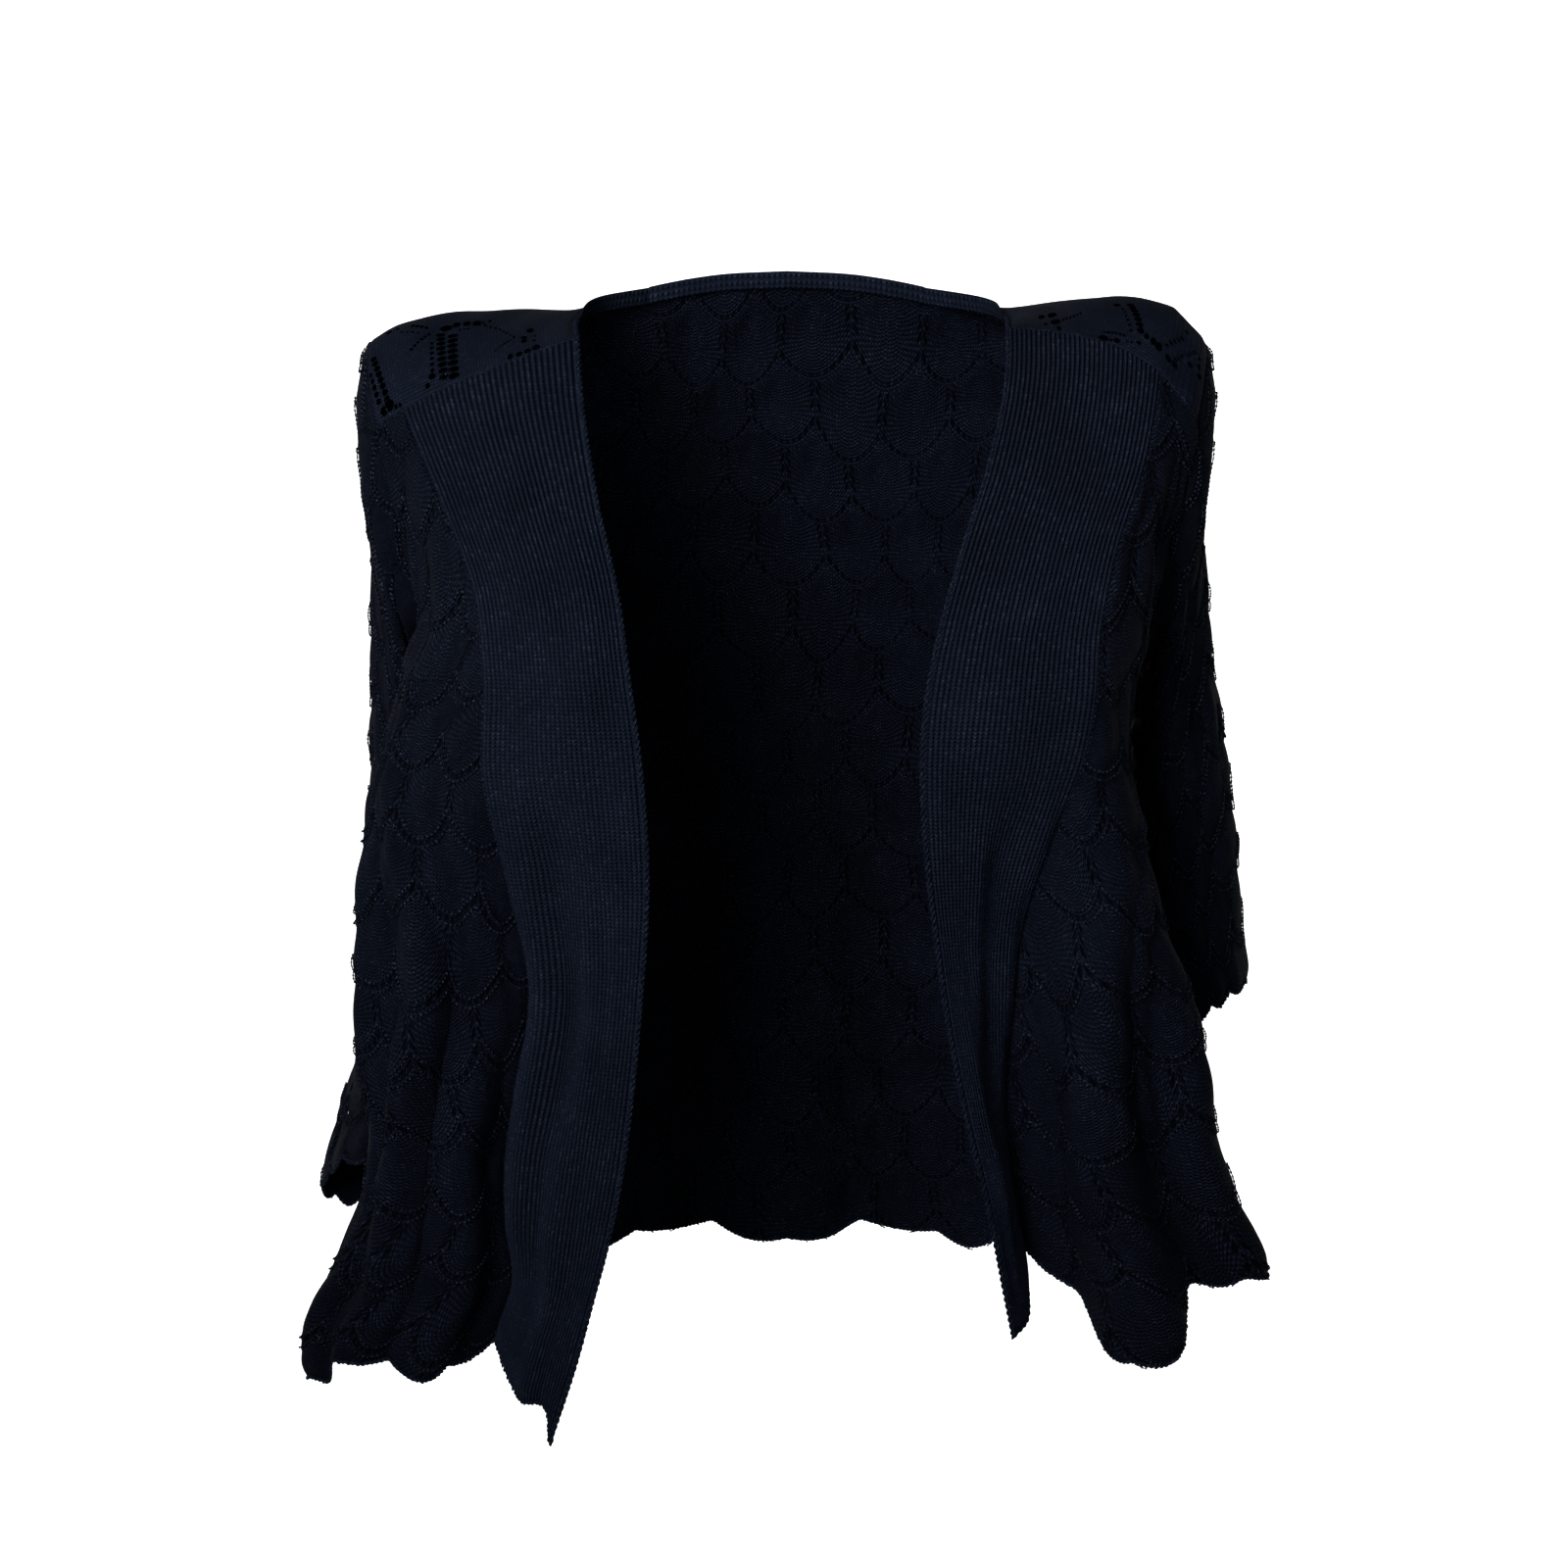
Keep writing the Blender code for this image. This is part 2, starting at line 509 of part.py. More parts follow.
def yoke_points(side, band, front, back_edge):
    """The inner face of a yoke. Row 0 is the forward shoulder seam and the last row the back seam;
    column 0 is the neck edge and the last column the armhole."""
    shares = yoke_shares()
    ribs_a_column = RIBS * POINTS_A_RIB // BAND_COLUMNS
    lace_step = LACE_COLUMNS // YOKE_LACE_COLUMNS
    forward = np.concatenate([band[0, ::ribs_a_column], front[0, lace_step::lace_step]])
    columns = len(forward)
    places = np.linspace(0, 1, columns)
    behind_at = np.linspace(0, 1, len(back_edge))
    behind = np.stack([np.interp(places, behind_at, back_edge[:, k]) for k in range(3)], axis=1)
    neck = read(NECK_COLUMNS, ((0.0, *forward[0]), *NECK_EDGES[side], (1.0, *back_edge[0])))
    arm_shares = np.linspace(0, 1, 2 * CORNER_STEPS + 1)
    arm = np.array([ring_point((CORNER_STEPS - k) * RING_STEP) for k in range(2 * CORNER_STEPS + 1)])
    points = np.empty((len(shares), columns, 3))
    for i, down in enumerate(shares):
        near_neck = np.array([float(smooth(neck["share"], neck[axis], down)) for axis in "xyz"])
        near_arm = np.array([np.interp(down, arm_shares, arm[:, k]) for k in range(3)])
        for j, over in enumerate(places):
            corners = (
                (1 - down) * ((1 - over) * forward[0] + over * forward[-1])
                + down * ((1 - over) * behind[0] + over * behind[-1])
            )
            across = (1 - over) * near_neck + over * near_arm
            lengthwise = (1 - down) * forward[j] + down * behind[j]
            points[i, j] = across + lengthwise - corners
    return points


def eyelets(side):
    """The cells of a yoke's grid that are cut through."""
    low, high = LADDER_ROWS[side]
    ladder = {(i, j) for i in range(low, high) for j in LADDER_COLUMNS[side]}
    return ladder | set(LARGE_EYELETS[side])


def normals(points, ring=False):
    """Unit normals of a grid. A ring's columns run on past its last one to its first."""
    if ring:
        wide = np.concatenate([points[:, -1:], points, points[:, :1]], axis=1)
        across = (wide[:, 2:] - wide[:, :-2]) / 2
    else:
        across = np.gradient(points, axis=1)
    down = np.gradient(points, axis=0)
    normal = np.cross(down, across)
    return normal / np.linalg.norm(normal, axis=2, keepdims=True)


def resample(values, count):
    """A row of vectors read again at another number of even places."""
    places = np.linspace(0, 1, len(values))
    at = np.linspace(0, 1, count)
    return np.stack([np.interp(at, places, values[:, k]) for k in range(values.shape[1])], axis=1)


def soften(directions, points):
    """Turns a piece's outward directions slowly into its seam edge's own, the first column's."""
    runs = np.linalg.norm(np.diff(points, axis=1), axis=2)
    distances = np.concatenate([np.zeros((len(points), 1)), np.cumsum(runs, axis=1)], axis=1)
    share = ease(0, SEAM_SOFTNESS, distances)[..., None]
    mixed = directions[:, :1] * (1 - share) + directions * share
    directions[:] = mixed / np.linalg.norm(mixed, axis=2, keepdims=True)


def meet(first, second):
    """Gives the edges of two pieces that are sewn together one shared outward direction."""
    count = max(len(first), len(second))
    total = resample(first, count) + resample(second, count)
    total /= np.linalg.norm(total, axis=1, keepdims=True)
    first[:] = resample(total, len(first))
    second[:] = resample(total, len(second))


def meet_armhole(yoke, front, back_side, sleeve):
    """The same for the armhole, where the sleeve meets the yoke's end, the front and the back."""
    meet(front[ARMHOLE_ROWS:, -1], back_side[ARMHOLE_ROWS:])
    knots = [*range(0, FINE_ROWS + 1, FINE_ROWS // 2), *range(FINE_ROWS + 1, len(yoke))]
    body = np.concatenate(
        [
            yoke[knots[CORNER_STEPS:0:-1], -1],
            front[:ARMHOLE_ROWS, -1],
            back_side[ARMHOLE_ROWS::-1],
            yoke[knots[:CORNER_STEPS:-1], -1][1:],
        ]
    )
    total = body + sleeve[0]
    total /= np.linalg.norm(total, axis=1, keepdims=True)
    sleeve[0] = total
    front[: ARMHOLE_ROWS + 1, -1] = total[CORNER_STEPS : UNDERARM_STEPS + 1]
    back_side[: ARMHOLE_ROWS + 1] = total[UNDERARM_STEPS : RING_STEPS - CORNER_STEPS + 1][::-1]
    end = np.concatenate([total[CORNER_STEPS::-1], total[: -CORNER_STEPS - 1 : -1]])
    shares = np.linspace(0, 1, len(end))
    yoke[:, -1] = np.stack([np.interp(yoke_shares(), shares, end[:, k]) for k in range(3)], axis=1)


def part_seams(points, ring=False):
    """Draws a piece back from its seams by half the gap."""
    moved = points.copy()
    pairs = [((0,), (1,)), ((-1,), (-2,))]
    if not ring:
        pairs += [((slice(None), 0), (slice(None), 1)), ((slice(None), -1), (slice(None), -2))]
    for edge, next_in in pairs:
        way = points[next_in] - points[edge]
        moved[edge] += way / np.linalg.norm(way, axis=-1, keepdims=True) * SEAM_GAP / 2
    return moved


def finish_piece(name, mesh, material, collection):
    bmesh.ops.recalc_face_normals(mesh, faces=mesh.faces[:])
    data = bpy.data.meshes.new(name)
    mesh.to_mesh(data)
    mesh.free()
    data.materials.append(material)
    data.shade_smooth()
    piece = bpy.data.objects.new(name, data)
    collection.objects.link(piece)
    return piece


def cloth_wall(name, inner, outer, material, collection, ring=False, holes=()):
    """A wall between two grids of the same size, closed along its edges and round its eyelets."""
    rows, columns = inner.shape[:2]
    mesh = bmesh.new()
    sheets = [[[mesh.verts.new(p) for p in row] for row in grid] for grid in (inner, outer)]
    across = {a: b for rows_in, rows_out in zip(*sheets) for a, b in zip(rows_in, rows_out)}
    for i in range(rows - 1):
        for j in range(columns if ring else columns - 1):
            k = (j + 1) % columns
            cells = [[sheet[i][j], sheet[i + 1][j], sheet[i + 1][k], sheet[i][k]] for sheet in sheets]
            if (i, j) not in holes:
                mesh.faces.new(cells[0])
                mesh.faces.new(cells[1][::-1])
                continue
            edges_in, edges_out = [], []
            for cell, edges in zip(cells, (edges_in, edges_out)):
                middle = sum((corner.co for corner in cell), Vector()) / len(cell)
                edges += [mesh.verts.new(middle.lerp(c.co, EYELET_SHARE)) for c in cell]
            across.update(zip(edges_in, edges_out))
            for a in range(len(edges_in)):
                b = (a + 1) % len(edges_in)
                mesh.faces.new([cells[0][a], cells[0][b], edges_in[b], edges_in[a]])
                mesh.faces.new([edges_out[a], edges_out[b], cells[1][b], cells[1][a]])
    rim = [edge for edge in mesh.edges if edge.is_boundary and edge.verts[0] in across]
    for edge in rim:
        a, b = edge.verts
        mesh.faces.new([b, a, across[a], across[b]])
    return finish_piece(name, mesh, material, collection)


def ribbed_wall(name, inner, outer, material, collection):
    """A wall whose outer face has several columns, the ribs', for each column of its inner face."""
    rows = len(outer)
    step = (outer.shape[1] - 1) // (inner.shape[1] - 1)
    mesh = bmesh.new()
    back, face = ([[mesh.verts.new(p) for p in row] for row in grid] for grid in (inner, outer))
    for sheet, turn in ((back, 1), (face, -1)):
        for above, below in zip(sheet, sheet[1:]):
            for j in range(len(above) - 1):
                mesh.faces.new([above[j], below[j], below[j + 1], above[j + 1]][::turn])
    for i in range(rows - 1):
        for j in (0, -1):
            mesh.faces.new([back[i][j], back[i + 1][j], face[i + 1][j], face[i][j]])
    for i in (0, rows - 1):
        for j in range(len(back[i]) - 1):
            ribs = face[i][j * step : (j + 1) * step + 1]
            mesh.faces.new([back[i][j + 1], back[i][j], *ribs])
    return finish_piece(name, mesh, material, collection)


def knit(name):
    material = bpy.data.materials.new(name)
    material.use_nodes = True
    shader = material.node_tree.nodes["Principled BSDF"]
    shader.inputs["Base Color"].default_value = KNIT_COLOUR
    shader.inputs["Roughness"].default_value = KNIT_ROUGHNESS
    shader.inputs["Metallic"].default_value = 0.0
    material.diffuse_color = KNIT_COLOUR
    return material


def place(points, sign):
    """Turns points whose x is outward into the garment's own frame."""
    placed = points.copy()
    placed[..., 0] *= sign
    return placed


def thicken(points, directions, wall, rises=0.0, ring=False):
    """The inner and outer faces of a piece, drawn back from its seams."""
    inner = part_seams(points, ring)
    return inner, inner + directions * np.expand_dims(wall + np.asarray(rises), -1)


def neck_strip(yokes, back, material, collection):
    """The narrow ribbed edge round the back of the neck, standing on the yokes and the back."""
    middle = BACK_NECK_COLUMNS + BACK_YOKE_COLUMNS
    neck = back[0, middle - BACK_NECK_COLUMNS : middle + BACK_NECK_COLUMNS + 1]
    right, left = (yokes[side][STRIP_ROWS, 0] for side in ("right", "left"))
    foot = np.concatenate([right, neck, left[::-1]])
    across = np.gradient(foot, axis=0)
    across /= np.linalg.norm(across, axis=1, keepdims=True)
    up = np.array([0.0, 0.0, 1.0])
    out = np.cross(up, across)
    out /= np.linalg.norm(out, axis=1, keepdims=True)
    foot = foot - up * STRIP_SINK - out * (EDGE_WALL + SEAM_GAP)
    rise = (up - out * STRIP_LEAN) * STRIP_HEIGHT
    inner = np.stack([foot, foot + rise / 2, foot + rise])
    return cloth_wall("neck_edge", inner, inner + out * EDGE_WALL, material, collection)


def build():
    for item in list(bpy.data.objects):
        bpy.data.objects.remove(item)
    collection = bpy.data.collections.new("knitted_shrug")
    bpy.context.scene.collection.children.link(collection)
    lace, rib, yoke_knit, edge_knit = (
        knit(name) for name in ("lace_knit", "rib_knit", "yoke_knit", "edge_knit")
    )

    back, back_rises = back_points()
    back_out = -normals(back)
    yokes = {}
    for side, sign in SIDES.items():
        band = band_points(side)
        front, front_rises = front_points(side)
        sleeve, sleeve_rises = sleeve_points(side)
        sleeve[0, :, 0] += SLEEVE_SET_OFF
        # The part of the back's top edge under this yoke, from the neck out, and the back's side.
        step = int(sign)
        back_edge = back[0, ::-step][BACK_YOKE_COLUMNS::-1]
        yoke = place(yoke_points(side, band, front, place(back_edge, sign)), sign)
        yokes[side] = yoke
        band_out = place(normals(band), sign)
        front_out = place(normals(front), sign)
        sleeve_out = -place(normals(sleeve, ring=True), sign)
        yoke_out = -normals(yoke) * sign
        back_side = back_out[:, -1 if sign > 0 else 0]

        meet(band_out[:, -1], front_out[::2, 0])
        front_out[1:-1:2, 0] = (front_out[0:-2:2, 0] + front_out[2::2, 0]) / 2
        soften(front_out, front)
        soften(band_out[:, ::-1], band[:, ::-1])
        meet(band_out[0], yoke_out[0, : BAND_COLUMNS + 1])
        meet(front_out[0], yoke_out[0, BAND_COLUMNS:])
        meet(back_out[0, ::-step][: BACK_YOKE_COLUMNS + 1], yoke_out[-1, ::-1])
        meet_armhole(yoke_out, front_out, back_side, sleeve_out)

        ribs = RIB_RISE * (np.arange(band.shape[1]) % 2)
        inner, outer = thicken(place(band, sign), band_out, BAND_WALL, ribs)
        ribs_a_column = RIBS * POINTS_A_RIB // BAND_COLUMNS
        ribbed_wall("band_" + side, inner[:, ::ribs_a_column], outer, rib, collection)
        inner, outer = thicken(place(front, sign), front_out, LACE_WALL, front_rises)
        cloth_wall("front_" + side, inner, outer, lace, collection)
        inner, outer = thicken(yoke, yoke_out, LACE_WALL)
        cloth_wall("yoke_" + side, inner, outer, yoke_knit, collection, holes=eyelets(side))
        inner, outer = thicken(place(sleeve, sign), sleeve_out, LACE_WALL, sleeve_rises, ring=True)
        cloth_wall("sleeve_" + side, inner, outer, lace, collection, ring=True)
    inner, outer = thicken(back, back_out, LACE_WALL, back_rises)
    cloth_wall("back", inner, outer, lace, collection)
    neck_strip(yokes, back, edge_knit, collection)


build()
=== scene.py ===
"""The looks of an open-front knitted shrug, in its worn shape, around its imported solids.

Each knitted piece is a thin sheet on its solid's own sections, read again on a fine grid, with its
ribs, shells, folds and openings raised or cut in the sheet. Cords, chain edges and seam stitches are
laid on the sheets. Metres, +Z up, with the garment's front towards -Y.
"""

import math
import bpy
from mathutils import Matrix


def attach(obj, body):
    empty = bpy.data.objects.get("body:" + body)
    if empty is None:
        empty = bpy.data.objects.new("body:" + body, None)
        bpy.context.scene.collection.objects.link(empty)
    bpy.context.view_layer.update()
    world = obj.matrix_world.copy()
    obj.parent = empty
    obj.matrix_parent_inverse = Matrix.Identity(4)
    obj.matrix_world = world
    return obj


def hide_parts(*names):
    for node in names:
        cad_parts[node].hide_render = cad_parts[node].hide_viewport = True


bl_info = {
    "name": "Knitted shrug",
    "version": (1, 0, 0),
    "blender": (4, 5, 0),
    "location": "3D View > Sidebar > Shrug",
    "description": "Ribbed bands, shell lace panels, yokes, sleeves and edges of a knitted shrug",
    "category": "Object",
}

import bmesh
import bpy
import numpy as np
from bpy.props import FloatProperty, FloatVectorProperty, PointerProperty
from mathutils import Vector
from mathutils.kdtree import KDTree

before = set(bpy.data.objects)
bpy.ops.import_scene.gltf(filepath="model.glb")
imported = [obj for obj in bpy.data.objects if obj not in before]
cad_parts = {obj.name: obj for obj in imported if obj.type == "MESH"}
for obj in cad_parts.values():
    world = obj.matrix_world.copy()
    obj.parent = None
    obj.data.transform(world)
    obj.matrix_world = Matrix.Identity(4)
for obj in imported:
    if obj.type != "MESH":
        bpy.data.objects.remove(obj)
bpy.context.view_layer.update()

# Cloth: walls and sizes in metres, and the coarse grid's counts that the edges' arcs follow
LACE_WALL = 0.0016
BAND_WALL = 0.0020
EDGE_WALL = 0.0018
SHELL_WIDTH = 0.034
SHELL_HEIGHT = 0.037
SCALLOP_DROP = 0.005
RIBS = 32
BAND_CROWN = 0.004
LENGTH_ROWS = 26
BAND_COLUMNS = 14
YOKE_LACE_COLUMNS = 2
BACK_NECK_COLUMNS = 4
BACK_YOKE_COLUMNS = 8
STRIP_HEIGHT = 0.006
STRIP_LEAN = 0.25

# Armhole: a leaning oval ring, the same on both sides, with x measured outward from the middle
ARMHOLE_X = 0.192
ARMHOLE_LEAN = 0.020
ARMHOLE_Y = 0.008
ARMHOLE_HALF_DEPTH = 0.063
ARMHOLE_Z = -0.094
ARMHOLE_HALF_HEIGHT = 0.080
RING_STEPS = 24
RING_STEP = 2 * math.pi / RING_STEPS
CORNER_STEPS = 4
UNDERARM_STEPS = RING_STEPS // 2
ARMHOLE_ROWS = UNDERARM_STEPS - CORNER_STEPS
SIDE_X = 0.167
RETURN_ACROSS = 0.30
RETURN_DEPTH = 0.62
SIDE_TUCK_Z = -0.200

# Which way outward is on each side
SIDES = {"right": -1.0, "left": 1.0}

# Front sections, a row for each level: the band's inner edge, the band and lace seam, the middle of
# the lace and the edge of its large front fold. Each x is outward from the middle of the body.
FRONT_COLUMNS = (
    "z", "inner_x", "inner_y", "seam_x", "seam_y", "mid_x", "mid_y", "fold_x", "fold_y",
)
FRONT_SECTIONS = {
    "right": (
        (0.010, 0.106, -0.018, 0.208, -0.022, 0.210, -0.026, 0.212, -0.030),
        (-0.050, 0.099, -0.070, 0.187, -0.054, 0.193, -0.052, 0.198, -0.050),
        (-0.090, 0.091, -0.098, 0.167, -0.087, 0.178, -0.075, 0.189, -0.062),
        (-0.130, 0.081, -0.121, 0.150, -0.110, 0.165, -0.092, 0.177, -0.070),
        (-0.170, 0.075, -0.135, 0.145, -0.121, 0.168, -0.103, 0.184, -0.076),
        (-0.220, 0.069, -0.135, 0.146, -0.117, 0.177, -0.106, 0.200, -0.074),
        (-0.270, 0.067, -0.130, 0.137, -0.104, 0.177, -0.109, 0.206, -0.070),
        (-0.330, 0.071, -0.124, 0.127, -0.092, 0.174, -0.110, 0.208, -0.066),
        (-0.380, 0.076, -0.120, 0.135, -0.090, 0.176, -0.108, 0.206, -0.062),
        (-0.410, 0.080, -0.119, 0.140, -0.086, 0.179, -0.106, 0.204, -0.061),
        (-0.450, 0.088, -0.117, 0.141, -0.080, 0.184, -0.103, 0.211, -0.062),
        (-0.480, 0.096, -0.116, 0.138, -0.076, 0.191, -0.100, 0.224, -0.058),
        (-0.510, 0.104, -0.115, 0.147, -0.076, 0.200, -0.098, 0.238, -0.060),
        (-0.550, 0.117, -0.115, 0.149, -0.078, 0.205, -0.096, 0.240, -0.060),
    ),
    "left": (
        (0.010, 0.110, -0.020, 0.186, -0.028, 0.200, -0.030, 0.208, -0.032),
        (-0.030, 0.108, -0.055, 0.183, -0.052, 0.193, -0.050, 0.202, -0.048),
        (-0.070, 0.098, -0.088, 0.174, -0.078, 0.184, -0.070, 0.193, -0.059),
        (-0.110, 0.084, -0.112, 0.159, -0.101, 0.172, -0.086, 0.184, -0.064),
        (-0.150, 0.072, -0.129, 0.150, -0.116, 0.163, -0.099, 0.175, -0.070),
        (-0.180, 0.066, -0.136, 0.148, -0.121, 0.157, -0.108, 0.162, -0.086),
        (-0.210, 0.064, -0.135, 0.143, -0.120, 0.157, -0.111, 0.163, -0.086),
        (-0.250, 0.066, -0.131, 0.129, -0.108, 0.157, -0.115, 0.174, -0.083),
        (-0.300, 0.072, -0.125, 0.115, -0.092, 0.157, -0.119, 0.186, -0.081),
        (-0.340, 0.078, -0.122, 0.111, -0.084, 0.157, -0.121, 0.197, -0.080),
        (-0.390, 0.088, -0.120, 0.108, -0.079, 0.162, -0.121, 0.207, -0.080),
        (-0.430, 0.098, -0.118, 0.112, -0.075, 0.168, -0.120, 0.217, -0.080),
        (-0.475, 0.107, -0.116, 0.120, -0.073, 0.176, -0.118, 0.234, -0.080),
        (-0.520, 0.116, -0.115, 0.122, -0.073, 0.180, -0.116, 0.240, -0.080),
    ),
}

# Back sections, a row for each level: the corner behind the arm, the quarter and the middle.
BACK_COLUMNS = ("z", "corner_x", "corner_y", "quarter_x", "quarter_y", "middle_y")
BACK_SECTIONS = (
    (0.020, 0.150, 0.052, 0.080, 0.057, 0.063),
    (-0.020, 0.163, 0.062, 0.090, 0.076, 0.084),
    (-0.050, 0.168, 0.074, 0.097, 0.090, 0.095),
    (-0.100, 0.162, 0.084, 0.100, 0.102, 0.104),
    (-0.150, 0.158, 0.080, 0.100, 0.105, 0.107),
    (-0.250, 0.153, 0.069, 0.099, 0.100, 0.100),
    (-0.350, 0.154, 0.065, 0.100, 0.098, 0.096),
    (-0.430, 0.157, 0.066, 0.103, 0.100, 0.098),
    (-0.520, 0.162, 0.070, 0.106, 0.106, 0.102),
)

# Levels of the top and hem edges, by share of the way across each piece. A band's share runs from
# its inner edge to the seam, a front's from the seam to the side and the back's from its middle out.
EDGE_COLUMNS = ("share", "z")
BAND_TOPS = {
    "right": ((0.0, -0.011), (0.6, -0.031), (1.0, -0.046)),
    "left": ((0.0, -0.006), (0.5, -0.011), (0.75, -0.017), (1.0, -0.028)),
}
BAND_HEMS = {
    "right": ((0.0, -0.552), (0.07, -0.543), (0.5, -0.534), (0.8, -0.522), (1.0, -0.511)),
    "left": ((0.0, -0.497), (0.5, -0.492), (0.8, -0.480), (1.0, -0.460)),
}
FRONT_HEMS = {
    "right": (
        (0.0, -0.511), (0.15, -0.519), (0.36, -0.515), (0.46, -0.531), (0.53, -0.534),
        (0.60, -0.518), (0.68, -0.508), (0.8, -0.505), (1.0, -0.498),
    ),
    "left": (
        (0.0, -0.462), (0.10, -0.476), (0.18, -0.498), (0.25, -0.507), (0.31, -0.500),
        (0.38, -0.474), (0.48, -0.474), (0.58, -0.470), (0.8, -0.486), (1.0, -0.498),
    ),
}
BACK_TOP = (
    (0.0, 0.0175), (0.18, 0.0155), (0.36, 0.009), (0.55, -0.002), (0.75, -0.016), (0.9, -0.032),
    (1.0, -0.054),
)
BACK_HEM = ((0.0, -0.506), (0.2, -0.500), (0.42, -0.509), (0.62, -0.502), (0.82, -0.508), (1.0, -0.498))
BACK_NECK_SHARE = 0.36

# Soft folds, a row for each: its share across the piece at its top and at its foot, its levels, its
# half-width as a share and how far it stands out. A negative rise is a trough.
FOLD_COLUMNS = ("share_top", "share_foot", "z_top", "z_foot", "half_width", "rise")
FRONT_FOLDS = {
    "right": (
        (0.44, 0.56, -0.27, -0.60, 0.065, 0.008),
        (0.36, 0.47, -0.28, -0.60, 0.060, -0.006),
        (0.27, 0.39, -0.26, -0.60, 0.060, 0.010),
        (0.18, 0.30, -0.26, -0.60, 0.055, -0.007),
        (0.10, 0.20, -0.30, -0.60, 0.060, 0.010),
        (0.30, 0.30, -0.08, -0.30, 0.110, 0.004),
    ),
    "left": (
        (0.20, 0.30, -0.24, -0.60, 0.075, 0.010),
        (0.34, 0.46, -0.26, -0.60, 0.070, -0.010),
        (0.46, 0.58, -0.26, -0.60, 0.065, 0.007),
        (0.08, 0.14, -0.30, -0.52, 0.055, -0.005),
        (0.35, 0.35, -0.05, -0.22, 0.120, 0.003),
    ),
}
BAND_FOLDS = {
    "right": ((0.62, 0.55, -0.20, -0.42, 0.16, -0.005), (0.85, 0.80, -0.22, -0.50, 0.12, 0.005)),
    "left": ((0.70, 0.50, -0.20, -0.42, 0.16, -0.005),),
}
# The back's share runs from its right side to its left side.
BACK_FOLDS = (
    (0.13, 0.11, -0.22, -0.60, 0.045, 0.008),
    (0.24, 0.25, -0.26, -0.60, 0.050, -0.007),
    (0.37, 0.36, -0.20, -0.60, 0.050, 0.009),
    (0.50, 0.49, -0.28, -0.60, 0.055, -0.008),
    (0.62, 0.64, -0.22, -0.60, 0.050, 0.008),
    (0.75, 0.74, -0.25, -0.60, 0.045, -0.006),
    (0.87, 0.88, -0.20, -0.60, 0.045, 0.008),
)
# How much wider than its half-width a fold runs out, the shares of its length over which it grows
# and dies away, and the share of the piece beside each seam where folds fade.
FOLD_SPREAD = 1.6
FOLD_START = 0.35
FOLD_END = 0.25
FOLD_FADE = 0.08

# Sleeves, a row for each ring: its share of the length, its outer and inner ends, its middle, its
# half depth, and how far its back hangs below its front and lies further out.
SLEEVE_COLUMNS = (
    "share", "outer_x", "outer_z", "inner_x", "inner_z", "middle_y", "half_depth", "back_drop",
    "back_out",
)
SLEEVE_RINGS = {
    "right": (
        (0.00, 0.2120, -0.014, 0.172, -0.174, 0.008, 0.063, 0.000, 0.000),
        (0.07, 0.2160, -0.038, 0.186, -0.182, 0.012, 0.061, 0.000, 0.000),
        (0.16, 0.2145, -0.070, 0.184, -0.201, 0.017, 0.059, 0.000, 0.000),
        (0.28, 0.2110, -0.118, 0.182, -0.232, 0.025, 0.054, 0.001, 0.002),
        (0.42, 0.2140, -0.180, 0.181, -0.272, 0.032, 0.051, 0.004, 0.004),
        (0.58, 0.2170, -0.252, 0.181, -0.325, 0.038, 0.050, 0.014, 0.008),
        (0.74, 0.2180, -0.325, 0.183, -0.378, 0.043, 0.052, 0.028, 0.016),
        (0.88, 0.2290, -0.400, 0.187, -0.428, 0.048, 0.056, 0.042, 0.028),
        (1.00, 0.2470, -0.456, 0.196, -0.468, 0.052, 0.060, 0.056, 0.038),
    ),
    "left": (
        (0.00, 0.2120, -0.014, 0.172, -0.174, 0.008, 0.063, 0.000, 0.000),
        (0.09, 0.2150, -0.037, 0.185, -0.182, 0.012, 0.061, 0.000, 0.000),
        (0.20, 0.2120, -0.068, 0.183, -0.199, 0.017, 0.059, 0.000, 0.000),
        (0.34, 0.2115, -0.112, 0.182, -0.222, 0.025, 0.055, 0.000, 0.000),
        (0.50, 0.2170, -0.165, 0.182, -0.252, 0.030, 0.054, 0.002, 0.002),
        (0.66, 0.2270, -0.225, 0.184, -0.290, 0.032, 0.057, 0.006, 0.004),
        (0.82, 0.2340, -0.282, 0.190, -0.330, 0.037, 0.059, 0.011, 0.006),
        (0.92, 0.2375, -0.318, 0.197, -0.352, 0.040, 0.061, 0.015, 0.008),
        (1.00, 0.2430, -0.346, 0.204, -0.372, 0.043, 0.063, 0.018, 0.010),
    ),
}
# Long soft folds down a sleeve: where they are round it in degrees from its outer side towards the
# front, half-width in degrees, and rise.
SLEEVE_FOLD_COLUMNS = ("angle", "half_width", "rise")
SLEEVE_FOLDS = ((35, 22, 0.004), (75, 20, -0.004), (-40, 25, 0.005), (-85, 24, -0.005), (-130, 25, 0.004))
SLEEVE_FOLD_START = 0.1
SLEEVE_FOLD_FULL = 0.6

# A yoke's neck edge between the band's corner and the back's seam, x outward: its share of the way
# back and its place
NECK_COLUMNS = ("share", "x", "y", "z")
NECK_EDGES = {
    "right": ((0.35, 0.1065, 0.004, -0.003), (0.7, 0.0990, 0.038, 0.004)),
    "left": ((0.35, 0.1110, 0.004, -0.001), (0.7, 0.1020, 0.038, 0.004)),
}

